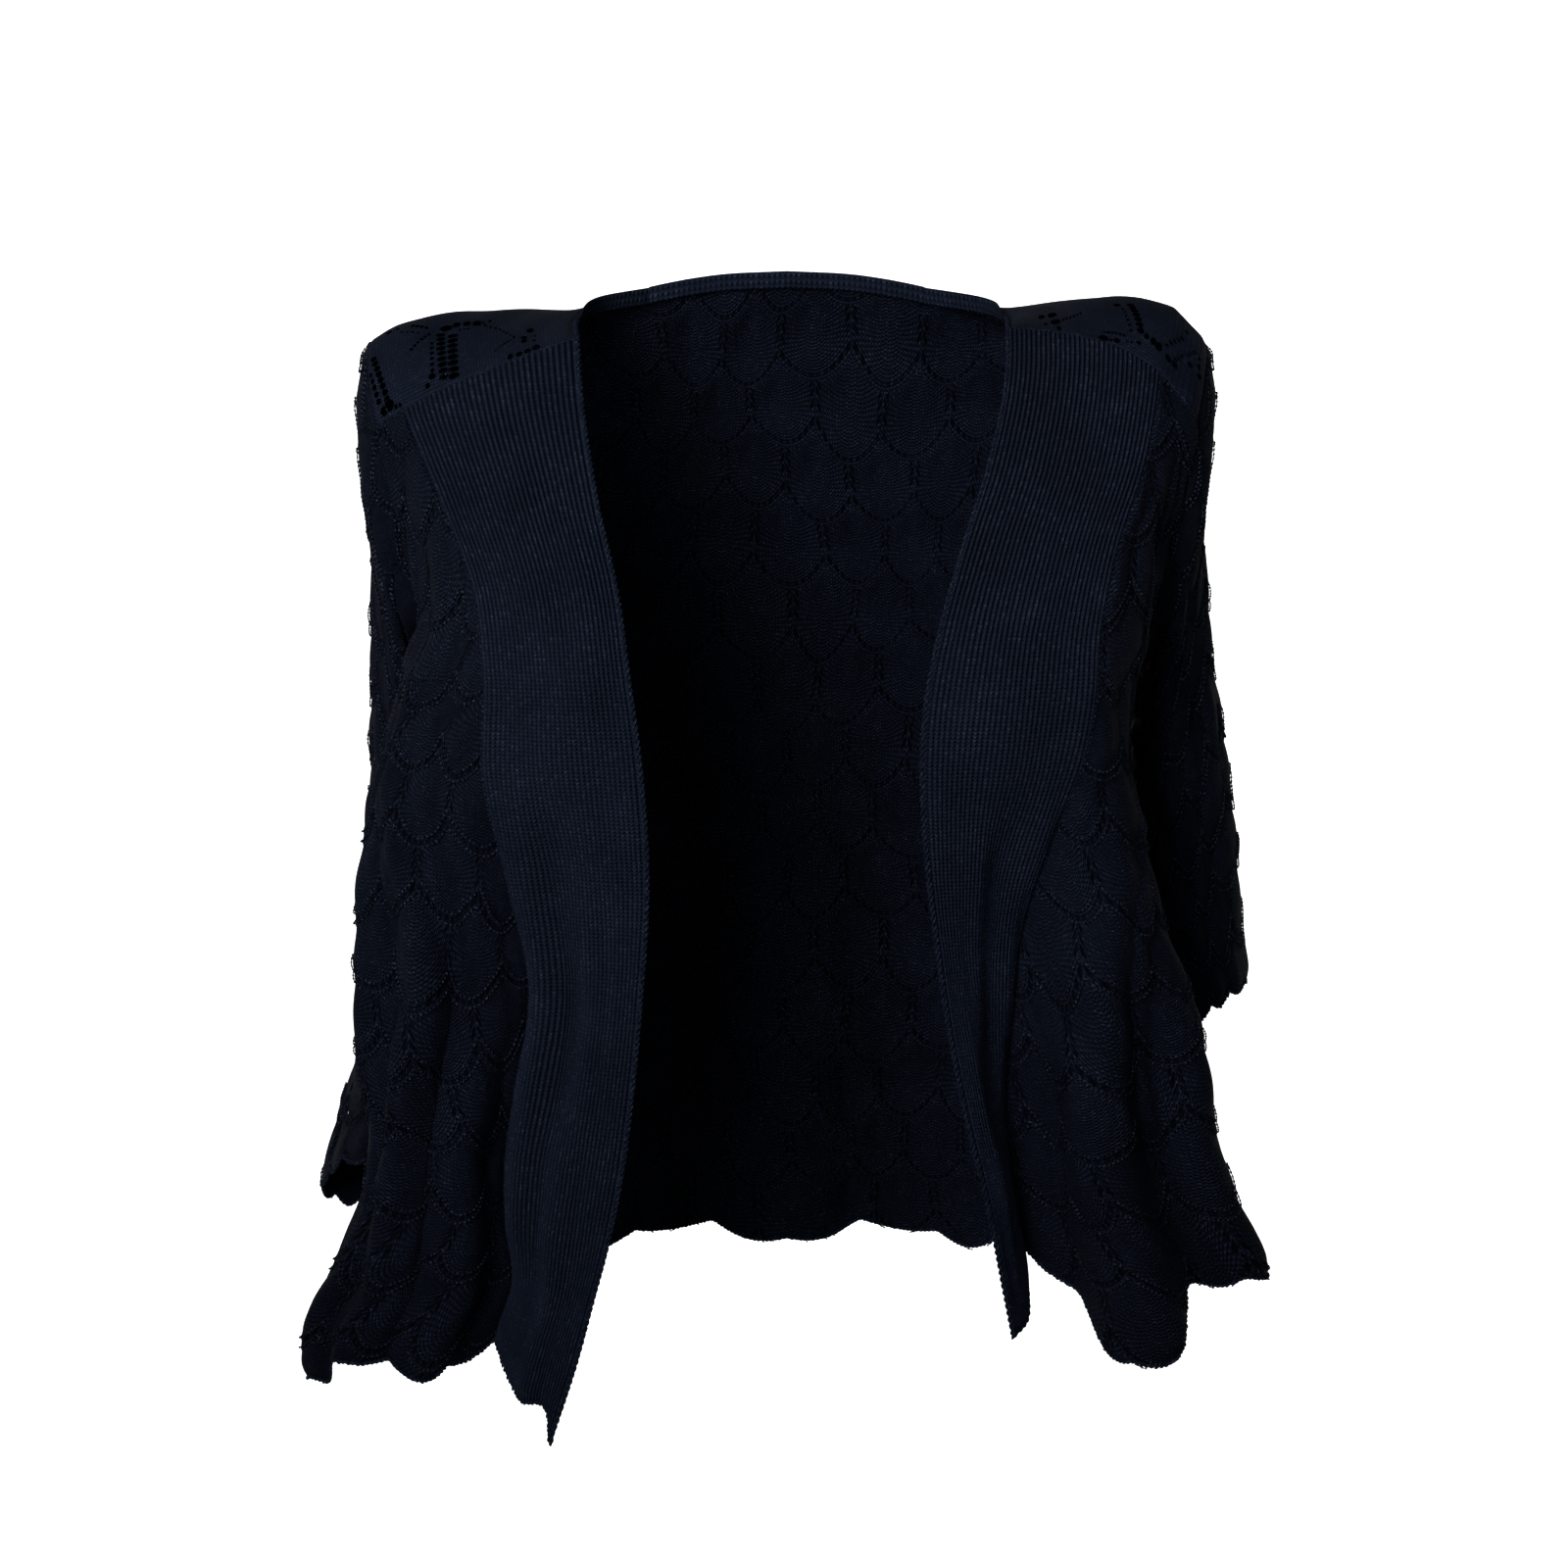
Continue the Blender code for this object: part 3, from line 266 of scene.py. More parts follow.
# Shells, borders and eyelets of the lace. Lengths are in metres, and the rest are shares and counts.
SHELL_CURVE = 0.35
SHELL_PEAK = 1.2
PUFF_SHARE = 0.88
BORDER_RISE = 0.0007
BORDER_WIDTH = 0.0066
SHELLS_ROUND_A_SLEEVE = 12
SHELLS_DOWN_A_SLEEVE = {"right": 12, "left": 10}
SCALLOPS_A_FRONT = 8
SLEEVE_SCALLOP_START = 0.95
SECTION_STEPS = 12
BATCH = 20000
EYELET_STEP = 0.0034
EYELET_HEIGHT = 0.0034
EYELET_BESIDE = 0.0016
EYELET_FURROW = 0.0015
EYELET_RADIUS = 0.0010
FOOT_CORDS = (0.0010, 0.0058)
CORD_LIFT = 0.0006
SEAM_CALM = 0.010
BAND_LONG = 0.5
FRONT_SPAN = (0.45, 0.2)
BACK_SPAN = (0.5, 0.4)
SLEEVE_LONG = 0.4
ON_CLOTH = 0.0008
OFF_BASE_SPEED = 4
FEWEST_IN_A_LINE = 4

# Small creases laid over the large folds, in the same columns as the folds
FRONT_CREASES = {
    "right": (
        (0.06, 0.08, -0.14, -0.34, 0.035, 0.0025), (0.17, 0.13, -0.12, -0.36, 0.030, -0.0025),
        (0.29, 0.25, -0.10, -0.38, 0.032, 0.0040), (0.40, 0.36, -0.13, -0.40, 0.030, -0.0030),
        (0.50, 0.48, -0.12, -0.40, 0.032, 0.0038), (0.60, 0.60, -0.20, -0.48, 0.030, -0.0030),
        (0.71, 0.70, -0.24, -0.52, 0.030, 0.0035), (0.15, 0.27, -0.36, -0.56, 0.020, 0.0032),
        (0.24, 0.37, -0.35, -0.56, 0.020, -0.0032), (0.34, 0.46, -0.34, -0.56, 0.022, 0.0036),
        (0.46, 0.56, -0.34, -0.56, 0.022, -0.0030), (0.80, 0.78, -0.06, -0.20, 0.030, 0.0020),
    ),
    "left": (
        (0.06, 0.05, -0.14, -0.27, 0.035, 0.0020), (0.60, 0.66, -0.22, -0.48, 0.030, -0.0030),
        (0.48, 0.42, -0.08, -0.24, 0.035, 0.0025), (0.26, 0.32, -0.36, -0.53, 0.028, 0.0035),
        (0.40, 0.50, -0.34, -0.50, 0.024, -0.0030), (0.70, 0.62, -0.05, -0.17, 0.035, 0.0020),
        (0.16, 0.22, -0.30, -0.50, 0.024, -0.0030), (0.33, 0.40, -0.20, -0.42, 0.028, 0.0030),
    ),
}
BAND_CREASES = {
    "right": (
        (0.34, 0.30, -0.24, -0.40, 0.08, -0.0012), (0.48, 0.40, -0.36, -0.56, 0.10, 0.0018),
        (0.20, 0.24, -0.06, -0.20, 0.10, 0.0010),
    ),
    "left": (
        (0.30, 0.36, -0.24, -0.42, 0.08, -0.0012), (0.22, 0.30, -0.34, -0.50, 0.10, 0.0018),
        (0.26, 0.20, -0.05, -0.18, 0.10, 0.0010),
    ),
}
BACK_CREASES = (
    (0.18, 0.22, -0.10, -0.30, 0.022, 0.0025), (0.31, 0.30, -0.32, -0.56, 0.020, 0.0030),
    (0.44, 0.42, -0.12, -0.36, 0.022, -0.0022), (0.57, 0.58, -0.34, -0.55, 0.020, 0.0030),
    (0.68, 0.69, -0.14, -0.34, 0.022, 0.0025), (0.81, 0.80, -0.34, -0.54, 0.018, -0.0026),
)

# Soft unevenness of the whole cloth: waves across and down it, how high each is and where it starts
WAVE_COLUMNS = ("across_m", "down_m", "height", "start")
WAVES = (
    (0.083, 0.190, 0.0007, 0.4), (-0.061, 0.127, 0.0005, 2.1), (0.047, -0.093, 0.0004, 3.7),
    (0.029, 0.071, 0.0003, 5.2),
)

# Openings of the yokes' lace, a row for each line of them: its ends as shares across the yoke from
# the neck and back from its forward seam, how many, and their width and length in metres.
LADDER_COLUMNS = ("over_from", "back_from", "over_to", "back_to", "count", "width", "length")
YOKE_LADDERS = {
    "right": (
        (0.63, 0.280, 0.63, 0.045, 9, 0.0043, 0.0026), (0.57, 0.260, 0.58, 0.035, 8, 0.0048, 0.0029),
        (0.675, 0.230, 0.685, 0.090, 6, 0.0019, 0.0019), (0.69, 0.066, 0.69, 0.066, 1, 0.0032, 0.0030),
        (0.72, 0.036, 0.72, 0.036, 1, 0.0026, 0.0022), (0.69, 0.290, 0.78, 0.210, 6, 0.0019, 0.0017),
        (0.775, 0.375, 0.705, 0.340, 4, 0.0018, 0.0030), (0.80, 0.325, 0.745, 0.305, 3, 0.0013, 0.0016),
        (0.895, 0.400, 0.895, 0.400, 1, 0.0024, 0.0036), (0.855, 0.395, 0.83, 0.345, 2, 0.0013, 0.0024),
        (0.965, 0.260, 0.935, 0.065, 8, 0.0022, 0.0028), (0.985, 0.190, 0.968, 0.070, 5, 0.0016, 0.0028),
        (0.93, 0.040, 0.93, 0.040, 1, 0.0034, 0.0044), (0.955, 0.030, 0.955, 0.030, 1, 0.0024, 0.0036),
        (0.905, 0.022, 0.885, 0.020, 2, 0.0014, 0.0020), (0.605, 0.330, 0.605, 0.330, 1, 0.0053, 0.0050),
        (0.555, 0.350, 0.505, 0.350, 2, 0.0034, 0.0048), (0.455, 0.350, 0.455, 0.350, 1, 0.0041, 0.0054),
        (0.43, 0.355, 0.40, 0.380, 2, 0.0016, 0.0032), (0.415, 0.330, 0.365, 0.300, 3, 0.0013, 0.0026),
        (0.345, 0.285, 0.28, 0.175, 5, 0.0013, 0.0022), (0.535, 0.300, 0.495, 0.300, 3, 0.0012, 0.0020),
        (0.295, 0.155, 0.37, 0.105, 6, 0.0013, 0.0013), (0.205, 0.220, 0.205, 0.220, 1, 0.0028, 0.0052),
        (0.235, 0.155, 0.235, 0.120, 2, 0.0025, 0.0034), (0.185, 0.150, 0.19, 0.105, 2, 0.0013, 0.0028),
        (0.185, 0.030, 0.185, 0.030, 1, 0.0031, 0.0048), (0.225, 0.024, 0.225, 0.024, 1, 0.0028, 0.0040),
        (0.265, 0.022, 0.265, 0.022, 1, 0.0028, 0.0038), (0.305, 0.026, 0.305, 0.026, 1, 0.0022, 0.0046),
    ),
    "left": (
        (0.18, 0.190, 0.18, 0.190, 1, 0.0034, 0.0072), (0.235, 0.205, 0.235, 0.205, 1, 0.0044, 0.0080),
        (0.26, 0.105, 0.26, 0.105, 1, 0.0052, 0.0064), (0.21, 0.075, 0.21, 0.075, 1, 0.0018, 0.0042),
        (0.30, 0.130, 0.385, 0.225, 6, 0.0012, 0.0040), (0.285, 0.050, 0.287, 0.018, 3, 0.0028, 0.0017),
        (0.575, 0.305, 0.575, 0.305, 1, 0.0035, 0.0038), (0.645, 0.305, 0.72, 0.120, 7, 0.0038, 0.0030),
        (0.605, 0.265, 0.67, 0.105, 6, 0.0016, 0.0021), (0.757, 0.105, 0.757, 0.105, 1, 0.0026, 0.0031),
        (0.797, 0.098, 0.797, 0.098, 1, 0.0030, 0.0035), (0.832, 0.090, 0.832, 0.090, 1, 0.0036, 0.0038),
        (0.885, 0.077, 0.905, 0.085, 2, 0.0016, 0.0028), (0.872, 0.120, 0.912, 0.230, 5, 0.0012, 0.0022),
        (0.905, 0.110, 0.952, 0.235, 8, 0.0011, 0.0014), (0.942, 0.150, 0.942, 0.150, 1, 0.0012, 0.0030),
        (0.96, 0.215, 0.97, 0.140, 3, 0.0012, 0.0028), (0.53, 0.066, 0.64, 0.068, 6, 0.0016, 0.0018),
        (0.535, 0.026, 0.535, 0.026, 1, 0.0050, 0.0040), (0.575, 0.022, 0.575, 0.022, 1, 0.0018, 0.0018),
        (0.607, 0.028, 0.607, 0.028, 1, 0.0035, 0.0026), (0.663, 0.040, 0.685, 0.048, 2, 0.0013, 0.0014),
        (0.725, 0.060, 0.725, 0.060, 1, 0.0029, 0.0016), (0.92, 0.300, 0.925, 0.290, 1, 0.0012, 0.0021),
    ),
}
# How far round an opening, in its half sizes, the mesh is drawn up to its edge
HOLE_EDGE = 1.2

# How the rows of shells wander: how many shells wide and how long in metres each wave is, how far
# it moves the pattern across and down, and where it starts
SWAY_COLUMNS = ("shells", "down_m", "across", "down", "start")
SWAYS = (
    (4, 0.31, 0.0022, 0.0034, 0.7), (6, -0.17, 0.0016, -0.0028, 2.9), (3, 0.11, -0.0012, 0.0018, 4.4),
)

# The photograph's camera: the point it looks at, how far off it stands and its lens in millimetres
CAMERA_TARGET = (-0.0015, 0.0, -0.239)
CAMERA_DISTANCE = 1.70
CAMERA_ELEVATION = math.radians(8)
CAMERA_LENS = 75.7
SENSOR = 36.0

# Knitting gauges, in metres: the width of a column of stitches and the height of a course
LACE_WALE = 0.0015
LACE_COURSE = 0.0017
BAND_WALE = 0.0031
BAND_COURSE = 0.0019
YOKE_WALE = 0.0016
YOKE_COURSE = 0.0016
LOOP_SLANT = 0.45
YARN_WANDER = 0.0005

# The wool: its finish, its patterns' scales, and how strongly its fuzz, uneven dye, painted glints and
# the eyelets' painted shade show
FUZZ_SHARE = 0.35
WOOL_ROUGHNESS = 0.9
WOOL_GLOSS = 0.02
WOOL_SHEEN = 0.003
GLINT_START = 0.72
PIT_DEPTH = 1.2
FOOT_PIT_SHARE = 0.85
WOOL_NAP = 0.45
SWAY_GRAIN = 110.0
FUZZ_GRAIN = 1900.0
CLOUD_GRAIN = 30.0
PATCH_GRAIN = 85.0
BEAD_GRAIN = 520.0
FUZZ_TONE = 1.15
CLOUD_TONE = 0.35
GLINT_SHARE = 0.22
EVEN_SHARE = 0.70
BEAD_TONE = 0.7
CORD_FUZZ_TONE = 0.6
CORD_DEPTH = 0.0005
PATCH_CONTRAST = 2.6
PATCH_START = -0.35
EYELET_RIM = (0.8, 1.5)
SIDE_EYELETS = (0.30, 0.10)

# How far the columns of stitches show before the courses, and how deep the stitches are in metres
BAND_COLUMN_SHARE = (0.50, 0.84)
BAND_DEPTH = 0.0012
LACE_COLUMN_SHARE = 0.16
LACE_DEPTH = 0.0014
YOKE_COLUMN_SHARE = 0.35
YOKE_DEPTH = 0.0005
NECK_COLUMN_SHARE = 0.6
NECK_DEPTH = 0.0007

# Tones of the laid cords and stitches on the ramp from painted shade to painted glint: the cords sit mostly
# in the painted glint
CORD_TONE = 0.62
STITCH_TONE = 0.32

# Fine grids: rows and columns of each sheet, and the steps of its edges in metres
SAMPLES_A_RIB = 5
BAND_ROWS = 225
FRONT_GRID = (312, 146)
BACK_GRID = (300, 210)
SLEEVE_GRID = (230, 200)
YOKE_COLUMNS = 175
YOKE_FINE_SHARE = 0.42
YOKE_FINE_ROWS = 112
YOKE_PLAIN_ROWS = 40
HOLE_MIDDLE = 0.5
EDGE_HOLD = 50
TINY = 1e-6
HOLE_STRETCH = 1.15
GATHER = {"right": 1.28, "left": 1.04}
CUFF_OPEN = {"right": (0.78, 0.95), "left": (1.0, 1.0)}
NECK_STEP = 0.0008
NECK_SIDES = 14
NECK_RIB = 0.0028
NECK_TAPER = 0.012
NECK_OVERLAP = 0.0030
NECK_FURROW = 0.75
NECK_END = 0.15
NECK_ROUND = 0.0144
NECK_STRIP_START_Y = 0.004
SELVAGE_OVERLAP = 0.004
CORD_STEP = 0.0016
BORDER_STEP = 0.0024

# The opening's rolled edge, and the stitches of the hems and seams, in metres and radians
PLY_SHARE = 0.8
PLY_TURN = 0.007
STITCH_COLUMNS = ("Stitch Step", "Stitch Length", "Stitch Width", "Slant")
HEM_CHAIN = (0.0024, 0.0042, 0.0021, 0.45)
SEAM_STITCH = (0.0026, 0.0028, 0.0010, 0.7)

# Studio: the paper's profile in metres, its own light, the room's light and the lamps, whose spread is
# in degrees and whose energy is in watts
FLOOR_Z = -0.80
SWEEP_START = 0.25
SWEEP_BACK = 1.6
SWEEP_RADIUS = 0.8
SWEEP_TOP = 0.9
SWEEP_HALF = 3.5
ROOM_LIGHT = 0.055
PAPER_GLOW = 1.0
PAPER_ROUGHNESS = 0.95
PAPER_GLOSS = 0.1
WHITE = (1.0, 1.0, 1.0, 1.0)
LIGHT_COLUMNS = ("name", "place_at", "aim_at", "size", "spread", "energy")
STUDIO_LIGHTS = (
    ("key_light", (-0.56, -1.20, 0.20), (-0.04, 0.0, -0.09), (0.8, 0.8), 52, 4.3),
    ("fill_light", (0.75, -1.75, 0.0), (-0.05, 0.0, -0.22), (0.9, 0.9), 180, 5.0),
)

# How high the bands' ribs stand at each level, as a share of their full rise: they open over the
# fullest part of the front.
RIB_LEVEL_SHARES = (
    (-0.56, 0.70), (-0.33, 0.62), (-0.27, 0.34), (-0.18, 0.36), (-0.13, 0.85), (0.01, 1.0),
)


def sizes():
    """The sizes set in the sidebar."""
    return bpy.context.scene.shrug_sizes


def colours():
    """The colours set in the sidebar."""
    return bpy.context.scene.shrug_colours


def read(names, rows):
    """A table's columns, by name."""
    return dict(zip(names, np.array(rows, float).T))


def named(names, rows):
    """A table's rows, each with its values by name."""
    return [dict(zip(names, row)) for row in rows]


def between(start, end, share):
    """The value a share of the way from start to end."""
    return start + (end - start) * share


def cubic(t, start, end, leave, arrive):
    """The curve between two places that leaves and arrives at given speeds, at t from 0 to 1."""
    return (
        (2 * t**3 - 3 * t**2 + 1) * start
        + (t**3 - 2 * t**2 + t) * leave
        + (3 * t**2 - 2 * t**3) * end
        + (t**3 - t**2) * arrive
    )


def smooth(knots, values, at):
    """A smooth curve through values at rising knots, read at any places."""
    knots = np.asarray(knots, float)
    values = np.asarray(values, float)
    steps = np.diff(knots)
    slopes = np.diff(values) / steps
    tangents = np.empty_like(values)
    tangents[1:-1] = (slopes[:-1] * steps[1:] + slopes[1:] * steps[:-1]) / (steps[:-1] + steps[1:])
    tangents[0] = slopes[0]
    tangents[-1] = slopes[-1]
    at = np.clip(at, knots[0], knots[-1])
    k = np.clip(np.searchsorted(knots, at) - 1, 0, len(knots) - 2)
    h = steps[k]
    return cubic((at - knots[k]) / h, values[k], values[k + 1], h * tangents[k], h * tangents[k + 1])


def ease(low, high, value):
    """0 below low, 1 above high, and smooth between them."""
    t = np.clip((value - low) / (high - low), 0, 1)
    return t * t * (3 - 2 * t)


def by_level(table, name, z):
    """A column of a table of sections, read at a level. The tables run downward."""
    return smooth(table["z"][::-1], table[name][::-1], z)


def edge_level(rows, share):
    """An edge's level at a share of the way across a piece."""
    table = read(EDGE_COLUMNS, rows)
    return smooth(table["share"], table["z"], share)


def ring_point(angle):
    """Points of the armhole, x outward. The angle runs from the top towards the front."""
    return np.stack(
        [
            ARMHOLE_X + ARMHOLE_LEAN * np.cos(angle),
            ARMHOLE_Y - ARMHOLE_HALF_DEPTH * np.sin(angle),
            ARMHOLE_Z + ARMHOLE_HALF_HEIGHT * np.cos(angle),
        ],
        axis=-1,
    )


UNDERARM_Z = ARMHOLE_Z - ARMHOLE_HALF_HEIGHT
CORNER_Z = float(ring_point(CORNER_STEPS * RING_STEP)[2])


def side_point(z, facing):
    """The outer ends of body sections, in plan: the armhole above the underarm, the side seam below.
    facing is 1 on the front and -1 on the back."""
    level = np.clip((np.minimum(z, CORNER_Z) - ARMHOLE_Z) / ARMHOLE_HALF_HEIGHT, -1, 1)
    armhole = ring_point(facing * np.arccos(level))[..., :2]
    tuck = ease(UNDERARM_Z, SIDE_TUCK_Z, z)
    start = ARMHOLE_X - ARMHOLE_LEAN
    seam = np.stack([start + (SIDE_X - start) * tuck, np.full_like(z, ARMHOLE_Y)], axis=-1)
    return np.where((z <= UNDERARM_Z)[..., None], seam, armhole)


def section(stations, share):
    """The point, the outward direction and the whole length, at a share of the length of smooth
    curves in plan. stations is an array of (curve, station, x or y)."""
    gaps = np.diff(stations, axis=1)
    spans = np.linalg.norm(gaps, axis=2, keepdims=True)
    slopes = gaps / spans
    inner = (slopes[:, :-1] * spans[:, 1:] + slopes[:, 1:] * spans[:, :-1]) / (
        spans[:, :-1] + spans[:, 1:]
    )
    tangents = np.concatenate([slopes[:, :1], inner, slopes[:, -1:]], axis=1)
    start, end = stations[:, :-1], stations[:, 1:]
    leave, arrive = tangents[:, :-1] * spans, tangents[:, 1:] * spans

    t = np.linspace(0, 1, SECTION_STEPS + 1)[:, None]
    curve = cubic(t, *(values[:, :, None] for values in (start, end, leave, arrive)))
    pieces = np.linalg.norm(np.diff(curve, axis=2), axis=3).reshape(len(stations), -1)
    run = np.concatenate([np.zeros((len(stations), 1)), np.cumsum(pieces, axis=1)], axis=1)
    length = run[:, -1]
    at = share * length
    rows = np.arange(len(stations))
    cell = np.clip((run <= at[:, None]).sum(axis=1) - 1, 0, pieces.shape[1] - 1)
    part = (at - run[rows, cell]) / pieces[rows, cell]
    k = cell // SECTION_STEPS
    t = ((cell % SECTION_STEPS + part) / SECTION_STEPS)[:, None]
    a, b, leave, arrive = (values[rows, k] for values in (start, end, leave, arrive))
    point = cubic(t, a, b, leave, arrive)
    way = (
        (6 * t**2 - 6 * t) * (a - b) + (3 * t**2 - 4 * t + 1) * leave + (3 * t**2 - 2 * t) * arrive
    )
    out = np.stack([way[:, 1], -way[:, 0]], axis=1)
    return point, out / np.linalg.norm(out, axis=1, keepdims=True), length


def fold_rise(folds, share, z):
    """How far the soft folds of a table push the cloth out."""
    rise = np.zeros_like(share)
    for fold in named(FOLD_COLUMNS, folds):
        down = (fold["z_top"] - z) / (fold["z_top"] - fold["z_foot"])
        middle = between(fold["share_top"], fold["share_foot"], down)
        off = (share - middle) / (FOLD_SPREAD * fold["half_width"])
        near = np.clip(1 - off * off, 0, None) ** 2
        rise += fold["rise"] * near * ease(0, FOLD_START, down) * ease(0, FOLD_END, 1 - down)
    return rise * ease(0, FOLD_FADE, share) * ease(0, FOLD_FADE, 1 - share)


def in_batches(find):
    """Lets a function of a piece's share and level take arrays of any shape and size."""

    def whole(*arguments):
        *first, share, level = arguments
        share, level = np.broadcast_arrays(np.asarray(share, float), np.asarray(level, float))
        flat_share, flat_level = share.ravel(), level.ravel()
        found = [
            find(*first, flat_share[k : k + BATCH], flat_level[k : k + BATCH])
            for k in range(0, flat_share.size, BATCH)
        ]
        points = np.concatenate([points for points, _ in found]).reshape(*share.shape, 3)
        across = np.concatenate([across for _, across in found]).reshape(share.shape)
        return points, across

    return whole


def stations_at(table, names, z):
    """Where the named stations of a table of sections are in plan, at each level."""
    return [np.stack([by_level(table, name + axis, z) for axis in ("_x", "_y")], -1) for name in names]


@in_batches
def band_at(side, share, z):
    """Points of a front band, x outward, and how far each is from its inner edge."""
    inner, seam = stations_at(read(FRONT_COLUMNS, FRONT_SECTIONS[side]), ("inner", "seam"), z)
    run = seam - inner
    width = np.linalg.norm(run, axis=1, keepdims=True)
    crown = BAND_CROWN * np.stack([run[:, 1], -run[:, 0]], axis=1) / width
    plan, out, length = section(np.stack([inner, (inner + seam) / 2 + crown, seam], axis=1), share)
    plan = plan + out * fold_rise(BAND_FOLDS[side] + BAND_CREASES[side], share, z)[:, None]
    return np.column_stack([plan, z]), share * length


@in_batches
def front_at(side, share, z):
    """Points of a lace front, x outward, and how far each is from the underarm's line."""
    table = read(FRONT_COLUMNS, FRONT_SECTIONS[side])
    stations = stations_at(table, ("seam", "mid", "fold"), z)
    edge = side_point(z, 1)
    behind = edge + (stations[-1] - edge) * (RETURN_ACROSS, RETURN_DEPTH)
    plan, out, length = section(np.stack([*stations, behind, edge], axis=1), share)
    plan = plan + out * fold_rise(FRONT_FOLDS[side] + FRONT_CREASES[side], share, z)[:, None]
    underarm = side_point(np.array(UNDERARM_Z), 1)
    across = (1 - share) * length + np.linalg.norm(edge - underarm, axis=1)
    return np.column_stack([plan, z]), across


@in_batches
def back_at(share, z):
    """Points of the back, and how far each is from its middle. The share is -1 at its right side."""
    table = read(BACK_COLUMNS, BACK_SECTIONS)
    half = [side_point(z, -1), *stations_at(table, ("corner", "quarter"), z)]
    middle = np.stack([np.zeros_like(z), by_level(table, "middle_y", z)], axis=-1)
    stations = np.stack([*half, middle, *[points * (-1, 1) for points in half[::-1]]], axis=1)
    plan, out, length = section(stations, (1 - share) / 2)
    rise = fold_rise(BACK_FOLDS + BACK_CREASES, (share + 1) / 2, z)
    return np.column_stack([plan + out * rise[:, None], z]), share * length / 2


@in_batches
def sleeve_at(side, angle, share):
    """Points of a sleeve, x outward, by the angle round it from its outer line towards the front."""
    table = read(SLEEVE_COLUMNS, SLEEVE_RINGS[side])
    ring = {name: smooth(table["share"], table[name], share) for name in SLEEVE_COLUMNS}
    outer = np.stack([ring["outer_x"], ring["middle_y"], ring["outer_z"]], axis=1)
    inner = np.stack([ring["inner_x"], ring["middle_y"], ring["inner_z"]], axis=1)
    front = np.stack([-ring["back_out"] / 2, -ring["half_depth"], ring["back_drop"] / 2], axis=1)
    middle = (outer + inner) / 2
    reach = (outer - middle) * np.cos(angle)[:, None] + front * np.sin(angle)[:, None]
    turn = (np.degrees(angle) + 180) % 360 - 180
    push = np.zeros_like(turn)
    for fold in named(SLEEVE_FOLD_COLUMNS, SLEEVE_FOLDS):
        off = (turn - fold["angle"]) / (FOLD_SPREAD * fold["half_width"])
        push += fold["rise"] * np.clip(1 - off * off, 0, None) ** 2
    push *= ease(SLEEVE_FOLD_START, SLEEVE_FOLD_FULL, share)
    away = reach / np.linalg.norm(reach, axis=1, keepdims=True)
    arcs = np.abs(np.sin(angle * SHELLS_ROUND_A_SLEEVE / 2)) * ease(SLEEVE_SCALLOP_START, 1, share)
    points = middle + reach + away * push[:, None]
    points[:, 2] -= SCALLOP_DROP * arcs
    return points, angle / (2 * np.pi) * SHELLS_ROUND_A_SLEEVE * SHELL_WIDTH


def front_levels(side, share, count):
    """The level of each row of a front, at each share across it, from its top edge to its hem."""
    top = BAND_TOPS[side][-1][1]
    top = top + (CORNER_Z - top) * share
    arcs = np.abs(np.sin(np.pi * SCALLOPS_A_FRONT * share))
    hem = edge_level(FRONT_HEMS[side], share) - SCALLOP_DROP * arcs
    return levels(top, hem, share, count)


def back_levels(share, count):
    """The level of each row of the back, at each share across it."""
    reach = np.abs(share)
    half = [*np.linspace(0, BACK_NECK_SHARE, BACK_NECK_COLUMNS + 1)]
    half += [*np.linspace(BACK_NECK_SHARE, 1, BACK_YOKE_COLUMNS + 1)[1:]]
    arcs = np.abs(np.sin(np.pi / 2 * np.interp(reach, half, np.arange(len(half)))))
    hem = edge_level(BACK_HEM, reach) - SCALLOP_DROP * arcs
    return levels(edge_level(BACK_TOP, reach), hem, reach, count)


def levels(top, hem, to_side, count):
    """Rows between a top edge and a hem, which follow the armhole's own steps at its side."""
    k = np.linspace(0, LENGTH_ROWS, count)
    ring = ARMHOLE_Z + ARMHOLE_HALF_HEIGHT * np.cos((CORNER_STEPS + k) * RING_STEP)
    below = (k - ARMHOLE_ROWS) / (LENGTH_ROWS - ARMHOLE_ROWS)
    last = hem[np.argmax(to_side)]
    side = np.where(k <= ARMHOLE_ROWS, ring, UNDERARM_Z + (last - UNDERARM_Z) * below)
    side_down = (CORNER_Z - side) / (CORNER_Z - last)
    even_down = k / LENGTH_ROWS
    down = even_down[:, None] * (1 - to_side) + side_down[:, None] * to_side
    return top + (hem - top) * down


def unevenness(across, down):
    """How far the cloth's soft waves push it out."""
    rise = np.zeros_like(across)
    for wave in named(WAVE_COLUMNS, WAVES):
        turns = across / wave["across_m"] + down / wave["down_m"]
        rise += wave["height"] * np.sin(2 * np.pi * turns + wave["start"])
    return rise


def swayed(across, down, size):
    """The pattern's coordinates with its rows wandering a little, the same all round a sleeve."""
    moved_across, moved_down = across.copy(), down.copy()
    for wave in named(SWAY_COLUMNS, SWAYS):
        turns = across / (wave["shells"] * size.shell_width) + down / wave["down_m"]
        swing = np.sin(2 * np.pi * turns + wave["start"])
        moved_across += wave["across"] * swing
        moved_down += wave["down"] * swing
    return moved_across, moved_down


def shell_of(across, down, size):
    """The row and the column of the shell that covers each place. Each shell covers the tops of the
    two below it."""
    row = np.floor(down / size.shell_height)
    x = 2 * ((across / size.shell_width + 0.5 * (row % 2)) % 1) - 1
    row = row + (down / size.shell_height - row + SHELL_CURVE * x**2 >= 1)
    return row, np.floor(across / size.shell_width + 0.5 * (row % 2))


